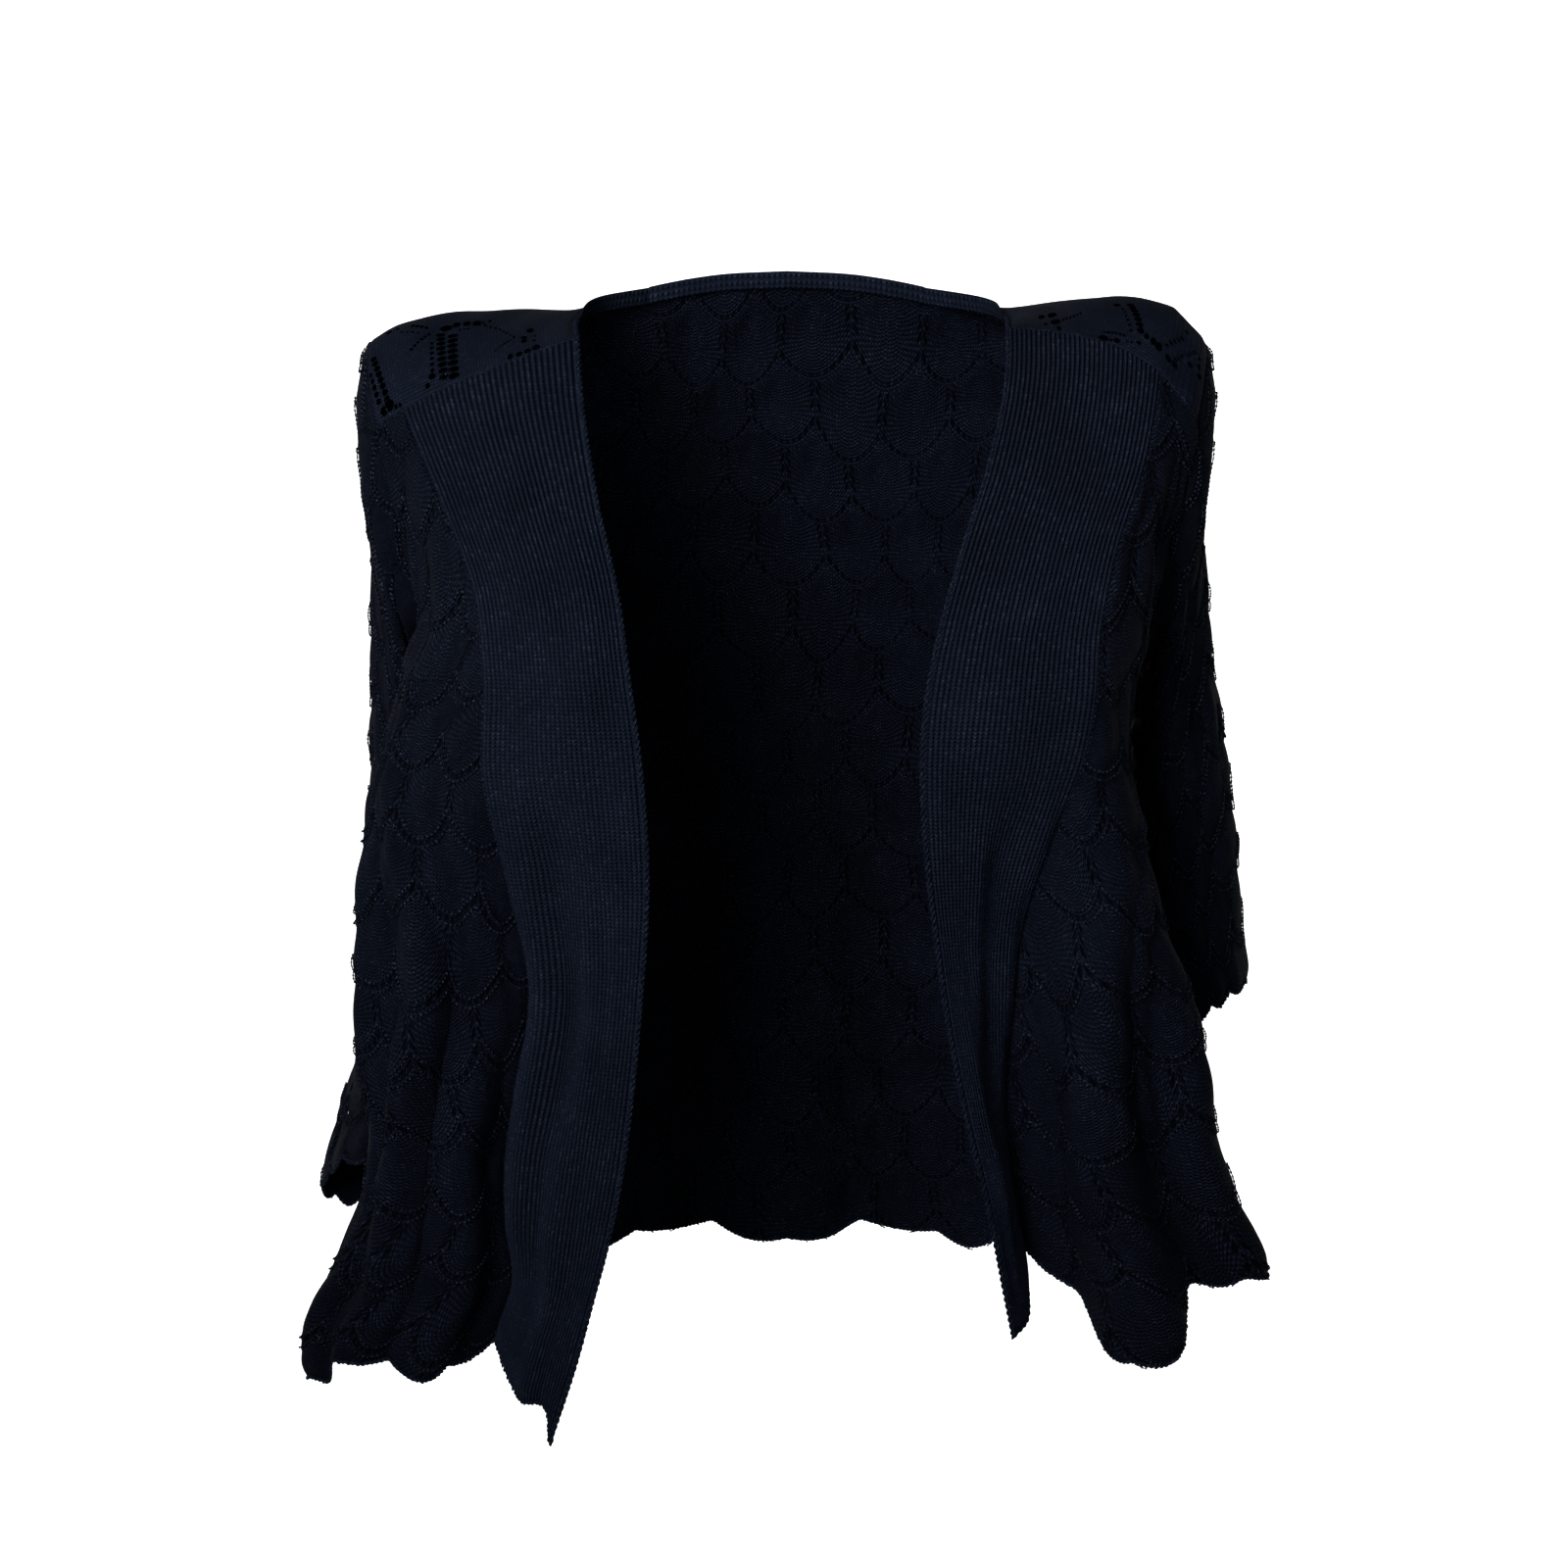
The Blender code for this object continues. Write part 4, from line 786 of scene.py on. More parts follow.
def shell_place(across, down, shell, size):
    """Where a place lies in a shell: from -1 to 1 across it, its share of the way down it and how
    far it is above the shell's rounded foot."""
    row, column = shell
    x = 2 * (across / size.shell_width + 0.5 * (row % 2) - column) - 1
    y = down / size.shell_height - row
    top = -SHELL_CURVE * (1 - np.abs(x)) ** 2
    foot = 1 - SHELL_CURVE * x**2
    slope = 4 * SHELL_CURVE * x * size.shell_height / size.shell_width
    above_foot = (foot - y) * size.shell_height / np.sqrt(1 + slope**2)
    return x, np.clip((y - top) / (foot - top), 0, 1), above_foot


def foot_line(across, row, lift, size):
    """How far down a line that follows the feet of a row of shells is, a little above them."""
    x = 2 * ((across / size.shell_width + 0.5 * (row % 2)) % 1) - 1
    slope = 4 * SHELL_CURVE * x * size.shell_height / size.shell_width
    return (row + 1 - SHELL_CURVE * x**2) * size.shell_height - lift * np.sqrt(1 + slope**2)


def shell_relief(across, down, size):
    """How far the lace's shells stand out above their flat borders, with a furrow where the
    borders' eyelets run."""
    x, share, above_foot = shell_place(across, down, shell_of(across, down, size), size)
    puff = np.sin(np.pi * np.clip(share / PUFF_SHARE, 0, 1) ** SHELL_PEAK)
    rise = size.shell_rise * np.sqrt(np.clip(1 - x**2, 0, 1)) * puff
    rise += BORDER_RISE * (1 - ease(BORDER_WIDTH, 1.3 * BORDER_WIDTH, above_foot))
    furrow = np.exp(-(((above_foot - EYELET_HEIGHT) / EYELET_FURROW) ** 2))
    return rise - size.eyelet_depth * furrow


def from_eyelet(across, down, size):
    """How far each place is from the middle of the nearest eyelet."""
    x, _, above_foot = shell_place(across, down, shell_of(across, down, size), size)
    u = x * size.shell_width / 2
    beside = size.shell_width / 2 - np.abs(u)
    near_u, near_v = (((value / EYELET_STEP) % 1 - 0.5) * EYELET_STEP for value in (u, above_foot))
    foot_row = np.hypot(near_u, above_foot - EYELET_HEIGHT)
    side_row = np.hypot(near_v, beside - EYELET_BESIDE)
    return np.minimum(foot_row, np.where(above_foot > 2 * EYELET_HEIGHT, side_row, size.shell_width))


def normals(points, ring=False):
    """Unit normals of a grid. A ring's last column lies on its first one."""
    across = np.gradient(points, axis=1)
    if ring:
        across[:, 0] = across[:, -1] = (points[:, 1] - points[:, -2]) / 2
    normal = np.cross(np.gradient(points, axis=0), across)
    return normal / np.maximum(np.linalg.norm(normal, axis=2, keepdims=True), 1e-12)


def place(points, sign):
    """Turns points whose x is outward into the garment's own frame."""
    return points * (sign, 1.0, 1.0)


def calm(count, length):
    """0 at both ends of a row of places and 1 a little way in, so that relief fades at a seam."""
    from_end = np.minimum(np.arange(count), np.arange(count)[::-1]) * length / (count - 1)
    return ease(0, SEAM_CALM, from_end)


def corners(grid):
    """A grid's values at the four corners of each of its cells."""
    return np.stack([grid[:-1, :-1], grid[1:, :-1], grid[1:, 1:], grid[:-1, 1:]], axis=2)


def new_object(name, data):
    """An object at the origin that holds the given data."""
    made = bpy.data.objects.new(name, data)
    bpy.context.scene.collection.objects.link(made)
    return made


def sheet_piece(name, points, knit, material, facing, ring=False, cut=None):
    """A thin sheet of cloth on a grid of points. knit is its pattern's coordinates at each cell's
    corners, kept as a UV map, cut is true for each cell that is left open, and facing is -1 where
    the grid's own side is the inner one. A ring's last column lies on its first one."""
    rows, columns = points.shape[:2]
    index = np.arange(rows * columns).reshape(rows, columns)
    if ring:
        index[:, -1] = index[:, 0]
    keep = np.ones((rows - 1, columns - 1), bool) if cut is None else ~cut
    cells, knit = corners(index)[keep], knit[keep]
    if facing < 0:
        cells, knit = cells[:, ::-1], knit[:, ::-1]
    used, cells = np.unique(cells, return_inverse=True)
    cells = cells.reshape(-1, 4)
    mesh = bpy.data.meshes.new(name)
    mesh.from_pydata(points.reshape(-1, 3)[used].tolist(), [], cells.tolist())
    mesh.uv_layers.new(name="knit")
    mesh.uv_layers["knit"].data.foreach_set("uv", knit.astype(np.float32).ravel())
    mesh.shade_smooth()
    mesh.materials.append(material)
    return new_object(name, mesh)


class Cloth:
    """A finished fine grid, for laying cords and stitches on it by its pattern's coordinates."""

    def __init__(self, points, out, across, down):
        self.points, self.out = points.reshape(-1, 3), out.reshape(-1, 3)
        self.pattern = np.stack([across, down], axis=-1)
        self.steps = [np.gradient(self.pattern, axis=k).reshape(-1, 2) for k in (0, 1)]
        self.moves = [np.gradient(points, axis=k).reshape(-1, 3) for k in (0, 1)]
        self.pattern = self.pattern.reshape(-1, 2)
        self.tree = KDTree(len(self.pattern))
        for k, (a, d) in enumerate(self.pattern.tolist()):
            self.tree.insert((a, d, 0.0), k)
        self.tree.balance()

    def lay(self, across, down, lift):
        """The points at places of the pattern, lifted off the cloth, and which of them are on it."""
        found = np.array([self.tree.find((a, d, 0.0))[1] for a, d in zip(across, down)])
        off = np.stack([across, down], axis=1) - self.pattern[found]
        (ra, rd), (ca, cd) = (step[found].T for step in self.steps)
        scale = ra * cd - rd * ca
        scale = np.where(np.abs(scale) < 1e-12, 1e-12, scale)
        i = np.clip((off[:, 0] * cd - off[:, 1] * ca) / scale, -1, 1)
        j = np.clip((off[:, 1] * ra - off[:, 0] * rd) / scale, -1, 1)
        left = off - i[:, None] * self.steps[0][found] - j[:, None] * self.steps[1][found]
        points = self.points[found] + i[:, None] * self.moves[0][found] + j[:, None] * self.moves[1][found]
        return points + self.out[found] * lift, np.linalg.norm(left, axis=1) < ON_CLOTH


def runs(points, on):
    """Splits a line where it leaves the cloth."""
    breaks = np.flatnonzero(np.diff(np.concatenate([[0], on.astype(int), [0]])))
    pairs = zip(breaks[::2], breaks[1::2])
    return [points[a:b] for a, b in pairs if b - a >= FEWEST_IN_A_LINE]


def line_mesh(name, lines):
    """One mesh of open lines, for a tree that lays yarn along them."""
    points = np.concatenate(lines)
    ends = np.cumsum([len(line) for line in lines])
    first = np.arange(len(points) - 1)
    first = first[~np.isin(first + 1, ends)]
    mesh = bpy.data.meshes.new(name)
    mesh.from_pydata(points.tolist(), np.stack([first, first + 1], axis=1).tolist(), [])
    return new_object(name, mesh)


def grown(piece, tree, inputs):
    """Runs a node tree on a piece and keeps its result as the piece's own plain mesh."""
    modifier = piece.modifiers.new("grow", "NODES")
    modifier.node_group = tree
    sockets = {
        item.name: item.identifier
        for item in tree.interface.items_tree
        if item.item_type == "SOCKET" and item.in_out == "INPUT"
    }
    for name, value in inputs.items():
        modifier[sockets[name]] = value
    graph = bpy.context.evaluated_depsgraph_get()
    mesh = bpy.data.meshes.new_from_object(piece.evaluated_get(graph))
    mesh.name = piece.name
    piece.modifiers.remove(modifier)
    piece.data = mesh
    return piece


def steps_for(length, spacing):
    """How many points make a length at about a spacing."""
    return int(round(length / spacing)) + 1


def length_of(points):
    """How long a line is."""
    return float(np.linalg.norm(np.diff(points, axis=0), axis=1).sum())


# The setting of a node that maps one range on another with soft ends
SMOOTHED = {"interpolation_type": "SMOOTHSTEP"}


class Tree:
    """Adds nodes to a node tree and joins their sockets."""

    def __init__(self, tree):
        self.tree = tree

    def node(self, kind, settings=(), **inputs):
        node = self.tree.nodes.new(kind)
        for name, value in dict(settings).items():
            setattr(node, name, value)
        self.fill(node, {name.replace("_", " "): value for name, value in inputs.items()})
        return node

    def fill(self, node, values):
        """Gives a node's named inputs their values or joins them."""
        for name, value in values.items():
            self.put(node.inputs[name], value)

    def put(self, socket, value):
        if isinstance(value, bpy.types.NodeSocket):
            self.tree.links.new(value, socket)
        else:
            socket.default_value = value

    def math(self, operation, *values, clamp=False):
        node = self.node("ShaderNodeMath", {"operation": operation, "use_clamp": clamp})
        for socket, value in zip(node.inputs, values):
            self.put(socket, value)
        return node.outputs[0]

    def fuzz(self, space):
        """The yarn's fine fuzz."""
        noise = self.node("ShaderNodeTexNoise", Vector=space, Scale=FUZZ_GRAIN, Detail=3.0, Roughness=0.7)
        return noise.outputs["Fac"]

    def around(self, value, strength, tone):
        """A tone made higher or lower by a value that goes from 0 to 1."""
        return self.math("MULTIPLY_ADD", self.math("SUBTRACT", value, 0.5), strength, tone)

    def reach(self, a, b):
        """The length of a step a across and b down."""
        return self.math("SQRT", self.math("ADD", self.math("POWER", a, 2.0), self.math("POWER", b, 2.0)))

    def wave(self, value, length):
        """From 0 to 1 and back once for each length."""
        turn = self.math("MULTIPLY", value, 2 * math.pi / length)
        return self.math("MULTIPLY_ADD", self.math("SINE", turn), 0.5, 0.5)

    def off_middle(self, value, length):
        """How far a value is from the middle of its own stretch of a given length."""
        part = self.math("FRACT", self.math("DIVIDE", value, length))
        return self.math("MULTIPLY", self.math("SUBTRACT", part, 0.5), length)


def new_tree(name, inputs):
    """An empty geometry tree with a line going in, its named sizes and a piece coming out."""
    tree = bpy.data.node_groups.new(name, "GeometryNodeTree")
    face = tree.interface
    face.new_socket("Line", in_out="INPUT", socket_type="NodeSocketGeometry")
    for title, kind, default in inputs:
        socket = face.new_socket(title, in_out="INPUT", socket_type=kind)
        if default is not None:
            socket.default_value = default
    face.new_socket("Piece", in_out="OUTPUT", socket_type="NodeSocketGeometry")
    make = Tree(tree)
    return make, make.node("NodeGroupInput").outputs


def end_tree(make, piece, material):
    """Realizes a tree's copies and gives them their material."""
    smoothed = make.node("GeometryNodeSetShadeSmooth", Geometry=piece).outputs[0]
    real = make.node("GeometryNodeRealizeInstances", Geometry=smoothed).outputs[0]
    done = make.node("GeometryNodeSetMaterial", Geometry=real, Material=material).outputs[0]
    make.tree.links.new(done, make.node("NodeGroupOutput").inputs[0])
    return make.tree


def yarn_tree():
    """Yarn laid along lines: plies that turn round each other, or a single ply."""
    make, given = new_tree(
        "Yarn along lines",
        (
            ("Yarn Radius", "NodeSocketFloat", 0.0007),
            ("Ply Offset", "NodeSocketFloat", 0.0),
            ("Turn Length", "NodeSocketFloat", 0.004),
            ("Step", "NodeSocketFloat", 0.0015),
            ("Sides", "NodeSocketInt", 5),
            ("Material", "NodeSocketMaterial", None),
        ),
    )
    curve = make.node("GeometryNodeMeshToCurve", Mesh=given["Line"]).outputs[0]
    curve = make.node(
        "GeometryNodeResampleCurve", {"mode": "LENGTH"}, Curve=curve, Length=given["Step"]
    ).outputs[0]
    curve = make.node("GeometryNodeSetCurveNormal", {"mode": "MINIMUM_TWIST"}, Curve=curve).outputs[0]
    run = make.node("GeometryNodeSplineParameter").outputs["Length"]
    tilt = make.math("MULTIPLY", make.math("DIVIDE", run, given["Turn Length"]), 2 * math.pi)
    curve = make.node("GeometryNodeSetCurveTilt", Curve=curve, Tilt=tilt).outputs[0]
    circle = make.node(
        "GeometryNodeCurvePrimitiveCircle", Resolution=given["Sides"], Radius=given["Yarn Radius"]
    ).outputs[0]
    shift = make.node("ShaderNodeCombineXYZ", X=given["Ply Offset"]).outputs[0]
    back = make.node("ShaderNodeVectorMath", {"operation": "SCALE"}, Scale=-1.0)
    make.put(back.inputs[0], shift)
    plies = make.node("GeometryNodeJoinGeometry")
    for way in (back.outputs[0], shift):
        moved = make.node("GeometryNodeTransform", Geometry=circle, Translation=way).outputs[0]
        make.tree.links.new(moved, plies.inputs[0])
    twisted = make.node("FunctionNodeCompare", {"data_type": "FLOAT"}, A=given["Ply Offset"], B=1e-6)
    profile = make.node(
        "GeometryNodeSwitch",
        Switch=twisted.outputs[0],
        **{"False": circle, "True": plies.outputs[0]},
    )
    cord = make.node(
        "GeometryNodeCurveToMesh", Curve=curve, Profile_Curve=profile.outputs[0], Fill_Caps=True
    ).outputs[0]
    return end_tree(make, cord, given["Material"])


def stitch_tree():
    """Separate stitches laid along lines, each one slanted across its line."""
    make, given = new_tree(
        "Stitches along lines",
        (
            ("Stitch Step", "NodeSocketFloat", 0.0025),
            ("Stitch Length", "NodeSocketFloat", 0.003),
            ("Stitch Width", "NodeSocketFloat", 0.0012),
            ("Slant", "NodeSocketFloat", 0.5),
            ("Unevenness", "NodeSocketFloat", 0.2),
            ("Seed", "NodeSocketInt", 7),
            ("Material", "NodeSocketMaterial", None),
        ),
    )
    curve = make.node("GeometryNodeMeshToCurve", Mesh=given["Line"]).outputs[0]
    places = make.node(
        "GeometryNodeCurveToPoints", {"mode": "LENGTH"}, Curve=curve, Length=given["Stitch Step"]
    )
    stitch = make.node(
        "GeometryNodeMeshUVSphere", Segments=5, Rings=3, Radius=0.5
    ).outputs[0]
    size = make.node(
        "ShaderNodeCombineXYZ", X=given["Stitch Width"], Y=given["Stitch Width"], Z=given["Stitch Length"]
    ).outputs[0]
    stitch = make.node("GeometryNodeTransform", Geometry=stitch, Scale=size).outputs[0]
    change = make.node("FunctionNodeRandomValue", {"data_type": "FLOAT"}, Seed=given["Seed"])
    make.put(change.inputs[2], make.math("MULTIPLY", given["Unevenness"], -1.0))
    make.put(change.inputs[3], given["Unevenness"])
    change = change.outputs[1]
    slant = make.math("ADD", given["Slant"], change)
    turn = make.node("ShaderNodeCombineXYZ", X=slant).outputs[0]
    turned = make.node(
        "FunctionNodeRotateRotation", {"rotation_space": "LOCAL"}, Rotation=places.outputs["Rotation"]
    )
    make.put(turned.inputs[1], turn)
    row = make.node(
        "GeometryNodeInstanceOnPoints",
        Points=places.outputs["Points"],
        Instance=stitch,
        Rotation=turned.outputs[0],
        Scale=make.node(
            "ShaderNodeCombineXYZ", X=1.0, Y=1.0, Z=make.math("ADD", change, 1.0)
        ).outputs[0],
    ).outputs[0]
    return end_tree(make, row, given["Material"])


def new_wool(name):
    """A material of the shrug's yarn with its constant finish, and the helper that adds its nodes."""
    material = bpy.data.materials.new(name)
    material.use_nodes = True
    make = Tree(material.node_tree)
    make.fill(
        make.tree.nodes["Principled BSDF"],
        {
            "Roughness": WOOL_ROUGHNESS,
            "Specular IOR Level": WOOL_GLOSS,
            "Sheen Weight": WOOL_SHEEN,
            "Sheen Roughness": WOOL_NAP,
            "Sheen Tint": (*colours().nap, 1.0),
        },
    )
    return material, make


def colour_with_painted_light_and_shade(make, tone, height, depth):
    """Colours a wool by its tone, from painted shade in the gaps between stitches through painted light on
    the top of the yarn to painted glints, and raises its surface."""
    yarn = colours()
    # The ramp runs from painted shade between the stitches through painted light on their tops to painted
    # glints
    ramp = make.node("ShaderNodeValToRGB", Fac=tone)
    low, high = ramp.color_ramp.elements
    low.color, high.color = (*yarn.shaded_yarn, 1.0), (*yarn.glint, 1.0)
    middle = ramp.color_ramp.elements.new(GLINT_START)
    middle.color = (*yarn.lit_yarn, 1.0)
    bump = make.node("ShaderNodeBump", Strength=1.0, Distance=depth, Height=height)
    shader = make.tree.nodes["Principled BSDF"]
    make.fill(shader, {"Base Color": ramp.outputs["Color"], "Normal": bump.outputs[0]})


def knit_material(name, wale, course, column_share, depth, pits=False, levels=()):
    """Fine wool knitting whose stitches follow the piece's own knit map: each wale is a column of
    slanted loops. column_share is how far the columns show before the courses, or its lowest and
    highest share where levels says how closed the ribs are at each level. The stitches' height also
    sets their colour: painted shade between them, painted light on their tops and random painted
    glints on single stitches. The yarn's fuzz and its uneven dye are read in object space."""
    found = bpy.data.materials.get(name)
    if found:
        return found
    material, make = new_wool(name)
    knit = make.node("ShaderNodeUVMap", {"uv_map": "knit"}).outputs[0]
    space = make.node("ShaderNodeTexCoord").outputs["Object"]
    sway = make.node("ShaderNodeTexNoise", Vector=space, Scale=SWAY_GRAIN, Detail=2.0)
    wander = make.node("ShaderNodeVectorMath", {"operation": "MULTIPLY_ADD"})
    make.put(wander.inputs[0], sway.outputs["Color"])
    wander.inputs[1].default_value = (YARN_WANDER,) * 3
    make.put(wander.inputs[2], knit)
    parts = make.node("ShaderNodeSeparateXYZ", Vector=wander.outputs[0]).outputs
    off = make.math("ABSOLUTE", make.off_middle(parts["X"], wale))
    off = make.math("MULTIPLY", off, 2 / wale)
    if levels:
        least, most = column_share
        closed = rib_closure(make, parts["Y"], levels)
        column_share = make.math("MULTIPLY_ADD", closed, most - least, least)
    column = make.math("SUBTRACT", 1.0, make.math("POWER", off, 2.0))
    climb = make.math("MULTIPLY_ADD", off, LOOP_SLANT * course, parts["Y"])
    loops = make.wave(climb, course)
    stitch = make.math(
        "ADD",
        make.math("MULTIPLY", column, column_share),
        make.math("MULTIPLY", loops, make.math("SUBTRACT", 1.0, column_share)),
    )

    which = make.node(
        "ShaderNodeCombineXYZ",
        X=make.math("FLOOR", make.math("DIVIDE", parts["X"], wale)),
        Y=make.math("FLOOR", make.math("DIVIDE", climb, course)),
    )
    own = make.node(
        "ShaderNodeTexWhiteNoise", {"noise_dimensions": "2D"}, Vector=which.outputs[0]
    ).outputs["Value"]
    fuzz = make.fuzz(space)
    cloud = make.node("ShaderNodeTexNoise", Vector=space, Scale=CLOUD_GRAIN, Detail=3.0).outputs["Fac"]
    # Random painted glints on single stitches, and painted shade between the stitches where their height is
    # low
    glints = make.math("MULTIPLY", make.math("POWER", own, 4.0), GLINT_SHARE)
    tone = make.math("MULTIPLY", stitch, make.math("ADD", glints, EVEN_SHARE))
    tone = make.around(cloud, CLOUD_TONE, make.around(fuzz, FUZZ_TONE, tone))
    height = make.math("MULTIPLY_ADD", fuzz, FUZZ_SHARE, stitch)
    if pits:
        # The eyelets darken the colour as painted shade and sink the bump
        solid = lace_pits(make, knit, space)
        tone = make.math("MULTIPLY", tone, solid)
        height = make.math("MULTIPLY_ADD", solid, PIT_DEPTH, height)
    colour_with_painted_light_and_shade(make, make.math("MAXIMUM", tone, 0.0), height, depth)
    return material


def rib_closure(make, v, levels):
    """How far the ribs are closed at each level, from a table of levels and shares."""
    ramp = make.node("ShaderNodeValToRGB")
    deepest = -levels[0][0]
    make.put(ramp.inputs[0], make.math("DIVIDE", v, deepest))
    stops = ramp.color_ramp.elements
    stops.remove(stops[0])
    for level, share in levels[::-1]:
        stop = stops.new(min(max(-level / deepest, 0.0), 1.0))
        stop.color = (share, share, share, 1.0)
    stops.remove(stops[-1])
    return ramp.outputs["Color"]


def lace_pits(make, knit, space):
    """1 on the lace, and less in the row of eyelets above each shell's foot and in the ladders of
    eyelets between shells, which are pulled open in some places and closed in others. It darkens the
    colour there as painted shade and lowers the bump."""
    parts = make.node("ShaderNodeSeparateXYZ", Vector=knit).outputs
    u, v = parts["X"], parts["Y"]
    size = sizes()
    beside = make.math("SUBTRACT", size.shell_width / 2 - EYELET_BESIDE, make.math("ABSOLUTE", u))
    up = make.math("SUBTRACT", v, EYELET_HEIGHT)
    foot_row = make.reach(make.off_middle(u, EYELET_STEP), up)
    side_row = make.reach(make.off_middle(v, EYELET_STEP), beside)
    low = make.math("LESS_THAN", v, 2 * EYELET_HEIGHT)
    side_row = make.math("ADD", side_row, low)
    away = make.math("MINIMUM", foot_row, side_row)
    least, most = (size.eyelet_radius * share for share in EYELET_RIM)
    edge = make.node("ShaderNodeMapRange", SMOOTHED, Value=away, From_Min=least, From_Max=most)
    least, most = (size.shell_width * share for share in SIDE_EYELETS)
    sideways = make.node(
        "ShaderNodeMapRange", SMOOTHED, Value=beside, From_Min=least, From_Max=most, To_Min=FOOT_PIT_SHARE
    )
    patchy = make.node("ShaderNodeTexNoise", Vector=space, Scale=PATCH_GRAIN, Detail=1.0).outputs["Fac"]
    patchy = make.math("MULTIPLY_ADD", patchy, PATCH_CONTRAST, PATCH_START, clamp=True)
    strength = make.math("MULTIPLY", sideways.outputs[0], patchy)
    gap = make.math("MULTIPLY", make.math("SUBTRACT", 1.0, edge.outputs[0]), strength)
    return make.math("SUBTRACT", 1.0, gap)


def cord_material(name, brightness):
    """The same wool as a laid cord or a stitch, with its fibres in object space, painted light on each
    bead's crown up into the painted glint and painted shade at the beads' edges.
    """
    found = bpy.data.materials.get(name)
    if found:
        return found
    material, make = new_wool(name)
    space = make.node("ShaderNodeTexCoord").outputs["Object"]
    fuzz = make.fuzz(space)
    knots = make.node("ShaderNodeTexVoronoi", Vector=space, Scale=BEAD_GRAIN).outputs["Distance"]
    # Painted light on each bead's crown, darker at its edges as painted shade
    bead = make.math("SUBTRACT", 1.0, make.math("MULTIPLY", knots, 1.3), clamp=True)
    tone = make.math("MULTIPLY_ADD", bead, BEAD_TONE, brightness)
    tone = make.around(fuzz, CORD_FUZZ_TONE, tone)
    colour_with_painted_light_and_shade(make, make.math("MAXIMUM", tone, 0.0), make.math("ADD", bead, fuzz), CORD_DEPTH)
    return material


# Finished points and cloths by name, for the seams, hems and cords that are laid on them
WORK = {}


def off_base(wall, fade):
    """How far a sheet lies off the middle of its cloth: on the outer side, but in the middle at
    seams, where two sheets meet."""
    return wall / 2 * np.minimum(1, fade * OFF_BASE_SPEED)


def keep_piece(piece, node=None):
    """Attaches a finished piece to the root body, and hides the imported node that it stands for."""
    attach(piece, "root")
    if node:
        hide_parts(node)
    return piece


def finish_lace(name, base, across, down, sign, facing, fades, ring=False, opened=None):
    """A lace sheet with its shells raised, and its cloth kept for the cords. opened is true for the
    rows whose eyelets are stretched enough to see through."""
    size = sizes()
    out = normals(base, ring) * facing
    fade = fades[0][:, None] * fades[1]
    across, down = swayed(across, down, size)
    rise = shell_relief(across, down, size) * fade + unevenness(across, down) * fade
    points = place(base + out * (off_base(LACE_WALL, fade) + rise)[..., None], sign)
    cell_across, cell_down = corners(across), corners(down)
    middle_across, middle_down = cell_across.mean(axis=2), cell_down.mean(axis=2)
    shell = shell_of(middle_across, middle_down, size)
    shell = [part[..., None] for part in shell]
    x, _, above_foot = shell_place(cell_across, cell_down, shell, size)
    knit = np.stack([x * size.shell_width / 2, above_foot], axis=-1)
    open_cells = None
    if opened is not None:
        holes = from_eyelet(middle_across, middle_down, size) < size.eyelet_radius
        open_cells = holes & opened[:-1, None]
    lace = knit_material(
        "lace_wool", LACE_WALE, LACE_COURSE, LACE_COLUMN_SHARE, LACE_DEPTH, pits=True
    )
    piece = sheet_piece(name, points, knit, lace, facing * sign, ring, open_cells)
    WORK[name] = Cloth(points, place(out, sign), across, down)
    WORK[name + "_edges"] = points
    return piece


def plain_knit_map(across, down):
    """A piece's own places across and down it, at each cell's corners."""
    return corners(np.stack([across, down], axis=-1))


def shell_border_lines(cloth):
    """Lines that follow the feet of every row of shells on a piece."""
    size = sizes()
    low, high = cloth.pattern.min(axis=0), cloth.pattern.max(axis=0)
    places = np.arange(low[0], high[0], CORD_STEP)
    lines = []
    for row in range(int(low[1] / size.shell_height) - 2, int(high[1] / size.shell_height) + 2):
        for lift in FOOT_CORDS:
            points, on = cloth.lay(places, foot_line(places, row, lift, size), CORD_LIFT)
            lines += runs(points, on)
    return lines


def lay_yarn(name, lines, slot, wool, **inputs):
    """Yarn along lines, as its own piece."""
    settings = {"Material": wool, **inputs}
    tree = bpy.data.node_groups.get("Yarn along lines") or yarn_tree()
    return keep_piece(grown(line_mesh(name, lines), tree, settings))


def lay_borders(lace):
    """The double cords along the shells' feet of a lace piece."""
    size = sizes()
    return lay_yarn(
        lace.name.replace("lace", "shell_borders", 1),
        shell_border_lines(WORK[lace.name]),
        "lace_knit",
        cord_material("cord_wool", CORD_TONE),
        **{"Yarn Radius": size.border_yarn, "Step": BORDER_STEP, "Sides": 4},
    )


def lay_stitches(name, lines, slot, **inputs):
    """Separate stitches along lines, as their own piece."""
    settings = {"Material": cord_material("stitch_wool", STITCH_TONE), **inputs}
    tree = bpy.data.node_groups.get("Stitches along lines") or stitch_tree()
    return keep_piece(grown(line_mesh(name, lines), tree, settings))


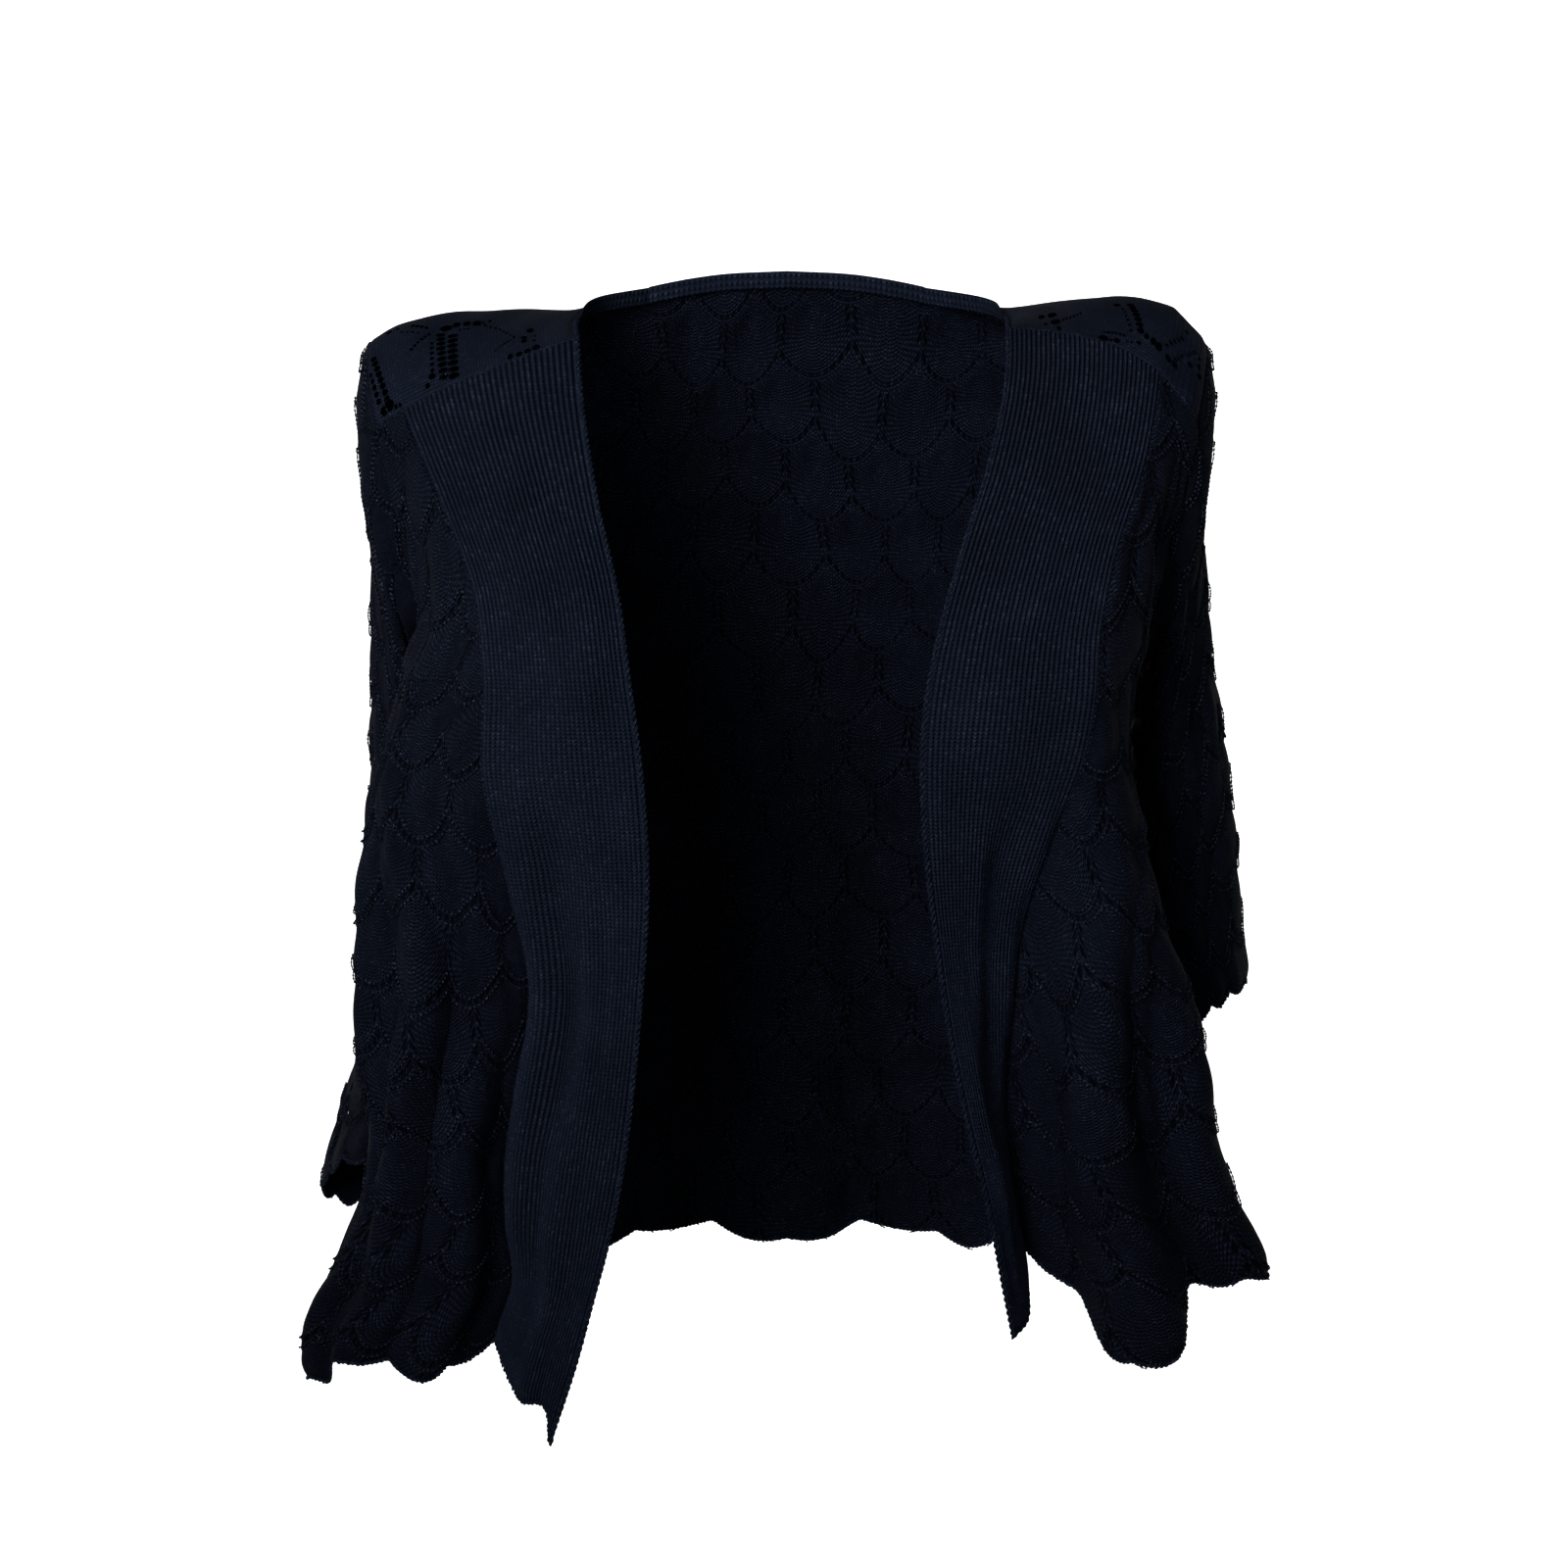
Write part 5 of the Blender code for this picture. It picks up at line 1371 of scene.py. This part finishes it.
def make_band(side):
    """A ribbed front band, its ribs along it and closed up over the bust."""
    size = sizes()
    sign = SIDES[side]
    share = np.linspace(0, 1, RIBS * SAMPLES_A_RIB + 1)
    top, hem = edge_level(BAND_TOPS[side], share), edge_level(BAND_HEMS[side], share)
    down = np.linspace(0, 1, BAND_ROWS)[:, None]
    levels_here = top + (hem - top) * down
    base, across = band_at(side, share, levels_here)
    out = normals(base)
    opened = smooth(*np.array(RIB_LEVEL_SHARES).T, levels_here)
    ribs = 0.5 - 0.5 * np.cos(2 * np.pi * RIBS * share)
    fade = calm(base.shape[0], BAND_LONG)[:, None] * calm(base.shape[1], across.max())
    rise = size.rib_rise * ribs * opened + unevenness(across, -levels_here) * fade
    points = place(base + out * (off_base(BAND_WALL, fade) + rise)[..., None], sign)
    wales = np.broadcast_to(share * RIBS * BAND_WALE, across.shape)
    piece = sheet_piece(
        "ribbed_band_" + side,
        points,
        plain_knit_map(wales, -levels_here),
        knit_material(
            "rib_wool", BAND_WALE, BAND_COURSE, BAND_COLUMN_SHARE, BAND_DEPTH, levels=RIB_LEVEL_SHARES
        ),
        sign,
    )
    keep_piece(piece, "band_" + side)
    WORK[piece.name] = points
    return piece


def make_front(side):
    """A lace front between its band and the armhole or side seam."""
    sign = SIDES[side]
    share = np.linspace(0, 1, FRONT_GRID[1])
    level = front_levels(side, share, FRONT_GRID[0])
    base, across = front_at(side, share, level)
    across = across * GATHER[side]
    fades = [calm(*pair) for pair in zip(base.shape, FRONT_SPAN)]
    piece = finish_lace("lace_front_" + side, base, across, -level, sign, 1, fades)
    return keep_piece(piece, "front_" + side)


def make_back():
    """The lace back, from its right side to its left."""
    share = np.linspace(-1, 1, BACK_GRID[1])
    level = back_levels(share, BACK_GRID[0])
    base, across = back_at(share, level)
    fades = [calm(*pair) for pair in zip(base.shape, BACK_SPAN)]
    piece = finish_lace("lace_back", base, across, -level, 1, -1, fades)
    return keep_piece(piece, "back")


def make_sleeve(side):
    """A lace sleeve from its armhole to its open cuff."""
    sign = SIDES[side]
    angle = np.linspace(0, 2 * np.pi, SLEEVE_GRID[1])
    share = np.linspace(0, 1, SLEEVE_GRID[0])[:, None]
    base, across = sleeve_at(side, angle, share)
    rows = SHELLS_DOWN_A_SLEEVE[side]
    down = np.broadcast_to((share * rows + 0.5) * SHELL_HEIGHT, across.shape)
    fades = calm(base.shape[0], SLEEVE_LONG), np.ones(base.shape[1])
    start, end = CUFF_OPEN[side]
    opened = (share[:, 0] > start) & (share[:, 0] < end)
    piece = finish_lace(
        "lace_sleeve_" + side, base, across, down, sign, -1, fades, ring=True, opened=opened
    )
    return keep_piece(piece, "sleeve_" + side)


def yoke_base(side, over, back):
    """The Coons patch between a yoke's four edges, x outward."""
    band_end = BAND_COLUMNS / (BAND_COLUMNS + YOKE_LACE_COLUMNS)
    band_share = np.clip(over / band_end, 0, 1)
    lace_share = np.clip((over - band_end) / (1 - band_end), 0, 1)
    band, _ = band_at(side, band_share, edge_level(BAND_TOPS[side], band_share))
    seam = BAND_TOPS[side][-1][1]
    front, _ = front_at(side, lace_share, seam + (CORNER_Z - seam) * lace_share)
    forward = np.where((over <= band_end)[:, None], band, front)
    back_share = BACK_NECK_SHARE + (1 - BACK_NECK_SHARE) * over
    behind, _ = back_at(back_share, edge_level(BACK_TOP, back_share))
    neck = read(NECK_COLUMNS, ((0.0, *forward[0]), *NECK_EDGES[side], (1.0, *behind[0])))
    near_neck = np.stack([smooth(neck["share"], neck[axis], back) for axis in "xyz"], axis=1)
    near_arm = ring_point((CORNER_STEPS - 2 * CORNER_STEPS * back) * RING_STEP)
    u, v = over[None, :, None], back[:, None, None]
    across = (1 - u) * near_neck[:, None] + u * near_arm[:, None]
    lengthwise = (1 - v) * forward[None] + v * behind[None]
    corner_part = (1 - v) * ((1 - u) * forward[0] + u * forward[-1]) + v * (
        (1 - u) * behind[0] + u * behind[-1]
    )
    return across + lengthwise - corner_part


def yoke_holes(side):
    """The middle and the half sizes of each opening of a yoke, in shares and in metres."""
    holes = []
    half = HOLE_STRETCH / 2
    for ladder in named(LADDER_COLUMNS, YOKE_LADDERS[side]):
        for step in np.linspace(0, 1, ladder["count"]):
            over = between(ladder["over_from"], ladder["over_to"], step)
            back = between(ladder["back_from"], ladder["back_to"], step)
            holes.append((over, back, ladder["width"] * half, ladder["length"] * half))
    return holes


def make_yoke(side):
    """A smooth yoke whose grid is drawn up to the edges of its openings, which are cut out."""
    sign = SIDES[side]
    over = np.linspace(0, 1, YOKE_COLUMNS)
    back = np.concatenate(
        [
            np.linspace(0, YOKE_FINE_SHARE, YOKE_FINE_ROWS + 1)[:-1],
            np.linspace(YOKE_FINE_SHARE, 1, YOKE_PLAIN_ROWS),
        ]
    )
    base = yoke_base(side, over, back)
    wide = np.mean([length_of(base[k]) for k in (0, len(back) // 2)])
    long = np.mean([length_of(base[:, k]) for k in (0, len(over) // 2, -1)])
    u, v = np.meshgrid(over * wide, back * long)
    even = np.stack([u, v], axis=-1)
    moved = even.copy()
    cut = np.zeros((len(back) - 1, len(over) - 1), bool)
    for hole_over, hole_back, half_wide, half_long in yoke_holes(side):
        middle = np.array([hole_over * wide, hole_back * long])
        half = np.array([half_wide, half_long])
        off = (even - middle) / half
        away = np.linalg.norm(off, axis=-1, keepdims=True)
        near = (away[..., 0] < HOLE_EDGE) & (away[..., 0] > TINY)
        pushed = middle + off / np.maximum(away, TINY) * (1 + away * (HOLE_EDGE - 1) / HOLE_EDGE) * half
        moved[near] = pushed[near]
        cut |= np.linalg.norm(corners(off).mean(axis=2), axis=-1) < HOLE_MIDDLE
    shift = moved - even
    along_over = np.gradient(base, axis=1) / np.gradient(u, axis=1)[..., None]
    along_back = np.gradient(base, axis=0) / np.gradient(v, axis=0)[..., None]
    calm_edge = calm(len(back), long)[:, None] * calm(len(over), wide)
    held = np.minimum(1, calm_edge * EDGE_HOLD)[..., None]
    shifted = base + (along_over * shift[..., :1] + along_back * shift[..., 1:]) * held
    out = -normals(base)
    rise = unevenness(u, v) * calm_edge
    points = place(shifted + out * (off_base(LACE_WALL, calm_edge) + rise)[..., None], sign)
    piece = sheet_piece(
        "yoke_" + side + "_knit",
        points,
        plain_knit_map(u, v),
        knit_material("yoke_wool", YOKE_WALE, YOKE_COURSE, YOKE_COLUMN_SHARE, YOKE_DEPTH),
        -sign,
        cut=cut,
    )
    keep_piece(piece, "yoke_" + side)
    WORK[piece.name] = points
    return piece


def neck_line():
    """The foot of the neck's edge, from the right yoke round the back to the left yoke."""
    right, left = (WORK["yoke_" + side + "_knit"][:, 0] for side in ("right", "left"))
    start = [int(np.argmax(line[:, 1] > NECK_STRIP_START_Y)) for line in (right, left)]
    back = WORK["lace_back_edges"][0]
    neck = np.abs(np.linspace(-1, 1, back.shape[0])) <= BACK_NECK_SHARE
    return np.concatenate([right[start[0] :], back[neck], left[start[1] :][::-1]])


def resampled(points, count):
    """A line's points laid out again at equal steps."""
    run = np.concatenate([[0], np.cumsum(np.linalg.norm(np.diff(points, axis=0), axis=1))])
    at = np.linspace(0, run[-1], count)
    return np.stack([np.interp(at, run, points[:, k]) for k in range(3)], axis=1)


def evened(points, times):
    """A line smoothed a number of times, with its ends kept."""
    for _ in range(times):
        points = points.copy()
        points[1:-1] = (points[:-2] + 2 * points[1:-1] + points[2:]) / 4
    return points


def make_neck_edge():
    """The narrow ribbed edge round the back of the neck: a flat tube of knitting stood on end."""
    line = neck_line()
    length = length_of(line)
    line = evened(resampled(line, steps_for(length, NECK_STEP)), 2)
    across = np.gradient(line, axis=0)
    across /= np.linalg.norm(across, axis=1, keepdims=True)
    up = np.array([0.0, 0.0, 1.0])
    out = np.cross(up, across)
    out /= np.linalg.norm(out, axis=1, keepdims=True)
    tall = up - out * STRIP_LEAN
    foot = line - up * NECK_OVERLAP - out * (EDGE_WALL / 4)
    turn = np.linspace(0, 2 * np.pi, NECK_SIDES + 1)
    run = np.linspace(0, length, len(line))
    ribs = 0.5 + 0.5 * np.cos(2 * np.pi * run / NECK_RIB)
    ends = between(NECK_END, 1, ease(0, NECK_TAPER, np.minimum(run, length - run)))
    half_height = (STRIP_HEIGHT + NECK_OVERLAP) / 2
    half_tall = half_height * ends
    half_thick = EDGE_WALL / 2 * between(NECK_FURROW, 1, ribs) * ends
    middle = foot + tall * half_height
    points = (
        middle[:, None]
        + tall[:, None] * (half_tall[:, None] * np.sin(turn))[..., None]
        + out[:, None] * (half_thick[:, None] * np.cos(turn))[..., None]
    )
    around = np.broadcast_to(turn / (2 * np.pi) * NECK_ROUND, points.shape[:2])
    along_run = np.broadcast_to(run[:, None], points.shape[:2])
    piece = sheet_piece(
        "neck_ribbed_edge",
        points,
        plain_knit_map(along_run, around),
        knit_material("edge_wool", NECK_RIB, BAND_COURSE, NECK_COLUMN_SHARE, NECK_DEPTH),
        1,
        ring=True,
    )
    closed = bmesh.new()
    closed.from_mesh(piece.data)
    bmesh.ops.holes_fill(closed, edges=[edge for edge in closed.edges if edge.is_boundary], sides=0)
    bmesh.ops.recalc_face_normals(closed, faces=closed.faces)
    closed.to_mesh(piece.data)
    closed.free()
    return keep_piece(piece, "neck_edge")


def evenly(line):
    """A line's points at the cords' own step."""
    return resampled(line, steps_for(length_of(line), CORD_STEP))


def seam_lines():
    """The lines where the knitted pieces are joined, in the garment's own frame."""
    lines = []
    for side in SIDES:
        band = WORK["ribbed_band_" + side]
        front = WORK["lace_front_" + side + "_edges"]
        yoke = WORK["yoke_" + side + "_knit"]
        sleeve = WORK["lace_sleeve_" + side + "_edges"]
        lines += [band[:, -1], yoke[0], yoke[-1], sleeve[0]]
        under = int(np.argmin(np.abs(front[:, -1, 2] - UNDERARM_Z)))
        lines.append(front[under:, -1])
    return [evenly(line) for line in lines]


def hem_lines():
    """The lower edges of the bands, fronts and back, and the cuffs."""
    lines = [WORK["lace_back_edges"][-1]]
    for side in SIDES:
        lines += [WORK["ribbed_band_" + side][-1], WORK["lace_front_" + side + "_edges"][-1]]
        lines.append(WORK["lace_sleeve_" + side + "_edges"][-1])
    return [evenly(line) for line in lines]


def opening_lines():
    """The front opening's rolled edges, each from the hem up and on round the neck."""
    lines = []
    for side in SIDES:
        band, yoke = WORK["ribbed_band_" + side], WORK["yoke_" + side + "_knit"]
        neck = yoke[:, 0][yoke[:, 0][:, 1] <= NECK_STRIP_START_Y + SELVAGE_OVERLAP]
        line = np.concatenate([band[::-1, 0], neck[1:]])
        lines.append(evened(evenly(line), 4))
    return lines


class ShrugSizes(bpy.types.PropertyGroup):
    """Sizes of the knitting"""

    shell_width: FloatProperty(
        name="Shell width", description="Width of one lace shell",
        default=SHELL_WIDTH, min=0.02, unit="LENGTH",
    )
    shell_height: FloatProperty(
        name="Shell height", description="Depth of one row of lace shells",
        default=SHELL_HEIGHT, min=0.02, unit="LENGTH",
    )
    shell_rise: FloatProperty(
        name="Shell rise", description="How far a shell puffs out of the cloth",
        default=0.0019, min=0.0, unit="LENGTH",
    )
    eyelet_depth: FloatProperty(
        name="Eyelet furrow", description="How deep the row of eyelets lies",
        default=0.0003, min=0.0, unit="LENGTH",
    )
    eyelet_radius: FloatProperty(
        name="Eyelet radius", description="Half the width of an opening in the lace",
        default=EYELET_RADIUS, min=0.0, unit="LENGTH",
    )
    rib_rise: FloatProperty(
        name="Rib rise", description="How far a rib stands out of its band",
        default=0.0010, min=0.0, unit="LENGTH",
    )
    border_yarn: FloatProperty(
        name="Border cord", description="Radius of the cords along the shells' feet",
        default=0.00062, min=0.0002, unit="LENGTH",
    )
    selvage: FloatProperty(
        name="Rolled edge", description="Radius of each ply of the opening's rolled edge",
        default=0.0009, min=0.0002, unit="LENGTH",
    )


class ShrugColours(bpy.types.PropertyGroup):
    """Colours of the yarn, with its painted shade, painted light and painted glints, and of the studio"""

    # Painted shade between the stitches, painted light on their tops and painted glints where the yarn
    # catches the light
    shaded_yarn: FloatVectorProperty(
        name="Deep yarn", description="Colour between the stitches",
        default=(0.0005, 0.0008, 0.0020), subtype="COLOR",
    )
    lit_yarn: FloatVectorProperty(
        name="Lit yarn", description="Colour on top of the stitches",
        default=(0.0064, 0.0094, 0.0185), subtype="COLOR",
    )
    glint: FloatVectorProperty(
        name="Glint", description="Colour of the yarn where it catches the light",
        default=(0.0230, 0.0290, 0.0480), subtype="COLOR",
    )
    nap: FloatVectorProperty(
        name="Nap", description="Tint of the wool's fine nap",
        default=(0.30, 0.45, 0.90), subtype="COLOR",
    )
    backdrop: FloatVectorProperty(
        name="Backdrop", description="Colour of the floor and backdrop",
        default=(0.93, 0.93, 0.93), subtype="COLOR",
    )


class SHRUG_OT_bands(bpy.types.Operator):
    """Make the two ribbed front bands"""

    bl_idname = "shrug.bands"
    bl_label = "Ribbed bands"

    def execute(self, context):
        for side in SIDES:
            piece = make_band(side)
        return {"FINISHED"}


class SHRUG_OT_fronts(bpy.types.Operator):
    """Make the two lace fronts"""

    bl_idname = "shrug.fronts"
    bl_label = "Lace fronts"

    def execute(self, context):
        for side in SIDES:
            piece = make_front(side)
            borders = lay_borders(piece)
        return {"FINISHED"}


class SHRUG_OT_back(bpy.types.Operator):
    """Make the lace back"""

    bl_idname = "shrug.back"
    bl_label = "Lace back"

    def execute(self, context):
        piece = make_back()
        borders = lay_borders(piece)
        return {"FINISHED"}


class SHRUG_OT_sleeves(bpy.types.Operator):
    """Make the two lace sleeves"""

    bl_idname = "shrug.sleeves"
    bl_label = "Lace sleeves"

    def execute(self, context):
        for side in SIDES:
            piece = make_sleeve(side)
            borders = lay_borders(piece)
        return {"FINISHED"}


class SHRUG_OT_yokes(bpy.types.Operator):
    """Make the two shoulder yokes with their lace openings"""

    bl_idname = "shrug.yokes"
    bl_label = "Yokes"

    def execute(self, context):
        for side in SIDES:
            piece = make_yoke(side)
        return {"FINISHED"}


class SHRUG_OT_neck_edge(bpy.types.Operator):
    """Make the ribbed edge round the back of the neck"""

    bl_idname = "shrug.neck_edge"
    bl_label = "Neck edge"

    def execute(self, context):
        piece = make_neck_edge()
        return {"FINISHED"}


class SHRUG_OT_edges(bpy.types.Operator):
    """Roll the opening's edges, chain the hems and cuffs and stitch the seams"""

    bl_idname = "shrug.edges"
    bl_label = "Edges and seams"

    def execute(self, context):
        radius = context.scene.shrug_sizes.selvage
        lay_yarn(
            "opening_selvages", opening_lines(), "edge_knit",
            cord_material("stitch_wool", STITCH_TONE),
            **{"Yarn Radius": radius, "Ply Offset": radius * PLY_SHARE, "Turn Length": PLY_TURN,
               "Sides": 6},
        )
        lay_stitches(
            "hem_chains", hem_lines(), "edge_knit",
            **dict(zip(STITCH_COLUMNS, HEM_CHAIN)),
        )
        lay_stitches(
            "seam_stitches", seam_lines(), "edge_knit",
            **dict(zip(STITCH_COLUMNS, SEAM_STITCH)),
        )
        return {"FINISHED"}


class SHRUG_OT_studio(bpy.types.Operator):
    """Make the pale floor and backdrop, the soft lights and the camera"""

    bl_idname = "shrug.studio"
    bl_label = "Studio"

    def execute(self, context):
        make_studio()
        return {"FINISHED"}


class SHRUG_PT_panel(bpy.types.Panel):
    """Steps and settings of the knitted shrug"""

    bl_idname = "SHRUG_PT_panel"
    bl_label = "Knitted shrug"
    bl_space_type = "VIEW_3D"
    bl_region_type = "UI"
    bl_category = "Shrug"

    def draw(self, context):
        for step in STEPS:
            self.layout.operator("shrug." + step)
        for group in (context.scene.shrug_sizes, context.scene.shrug_colours):
            for name in group.__annotations__:
                self.layout.prop(group, name)


def area_light(name, place_at, aim_at, size, spread, energy):
    """A soft rectangular light turned towards a point."""
    data = bpy.data.lights.new(name, "AREA")
    data.shape = "RECTANGLE"
    data.size, data.size_y = size
    data.spread = math.radians(spread)
    data.energy = energy
    light = new_object(name, data)
    light.location = place_at
    light.rotation_euler = (Vector(aim_at) - Vector(place_at)).to_track_quat("-Z", "Y").to_euler()


def make_studio():
    """A pale floor that curves up into a backdrop, soft lights and the photograph's camera."""
    turn = np.linspace(0, np.pi / 2, 17)
    floor = [(SWEEP_START, FLOOR_Z)]
    bend = [
        (SWEEP_BACK - SWEEP_RADIUS * (1 - math.sin(a)), FLOOR_Z + SWEEP_RADIUS * (1 - math.cos(a)))
        for a in turn
    ]
    profile = np.array([*floor, *bend, (SWEEP_BACK, SWEEP_TOP)])
    across = np.linspace(-SWEEP_HALF, SWEEP_HALF, 3)
    points = np.array([[(x, y, z) for x in across] for y, z in profile])
    material = bpy.data.materials.new("pale_paper")
    material.use_nodes = True
    paper = Tree(material.node_tree)
    paper.fill(
        paper.tree.nodes["Principled BSDF"],
        {
            "Base Color": (*colours().backdrop, 1.0),
            "Roughness": PAPER_ROUGHNESS,
            "Specular IOR Level": PAPER_GLOSS,
            "Emission Color": WHITE,
            "Emission Strength": PAPER_GLOW,
        },
    )
    backdrop = sheet_piece("backdrop", points, plain_knit_map(points[..., 0], points[..., 1]), material, -1)

    # The room gives little light, and only its background looks white
    world = bpy.context.scene.world or bpy.data.worlds.new("pale_room")
    bpy.context.scene.world = world
    world.use_nodes = True
    make = Tree(world.node_tree)
    room = world.node_tree.nodes.get("Background")
    make.fill(room, {"Color": WHITE, "Strength": ROOM_LIGHT})
    seen = make.node("ShaderNodeBackground", Color=WHITE, Strength=1.0)
    choice = make.node("ShaderNodeMixShader", Fac=make.node("ShaderNodeLightPath").outputs[0])
    make.put(choice.inputs[1], room.outputs[0])
    make.put(choice.inputs[2], seen.outputs[0])
    make.put(world.node_tree.nodes["World Output"].inputs["Surface"], choice.outputs[0])
    for light in named(LIGHT_COLUMNS, STUDIO_LIGHTS):
        area_light(**light)

    data = bpy.data.cameras.new("photo_camera")
    data.sensor_width = SENSOR
    data.lens = CAMERA_LENS
    camera = new_object("photo_camera", data)
    target = Vector(CAMERA_TARGET)
    back_off = Vector((0.0, -math.cos(CAMERA_ELEVATION), math.sin(CAMERA_ELEVATION)))
    camera.location = target + back_off * CAMERA_DISTANCE
    camera.rotation_euler = (-back_off).to_track_quat("-Z", "Y").to_euler()
    bpy.context.scene.camera = camera
    bpy.context.scene.view_settings.view_transform = "Standard"


CLASSES = (
    ShrugSizes,
    ShrugColours,
    SHRUG_OT_bands,
    SHRUG_OT_fronts,
    SHRUG_OT_back,
    SHRUG_OT_sleeves,
    SHRUG_OT_yokes,
    SHRUG_OT_neck_edge,
    SHRUG_OT_edges,
    SHRUG_OT_studio,
    SHRUG_PT_panel,
)
STEPS = ("studio", "bands", "fronts", "back", "sleeves", "yokes", "neck_edge", "edges")


def register():
    for item in CLASSES:
        bpy.utils.register_class(item)
    bpy.types.Scene.shrug_sizes = PointerProperty(type=ShrugSizes)
    bpy.types.Scene.shrug_colours = PointerProperty(type=ShrugColours)


def unregister():
    del bpy.types.Scene.shrug_colours
    del bpy.types.Scene.shrug_sizes
    for item in reversed(CLASSES):
        bpy.utils.unregister_class(item)


def main():
    register()
    for step in STEPS:
        getattr(bpy.ops.shrug, step)()


if __name__ == "__main__":
    main()
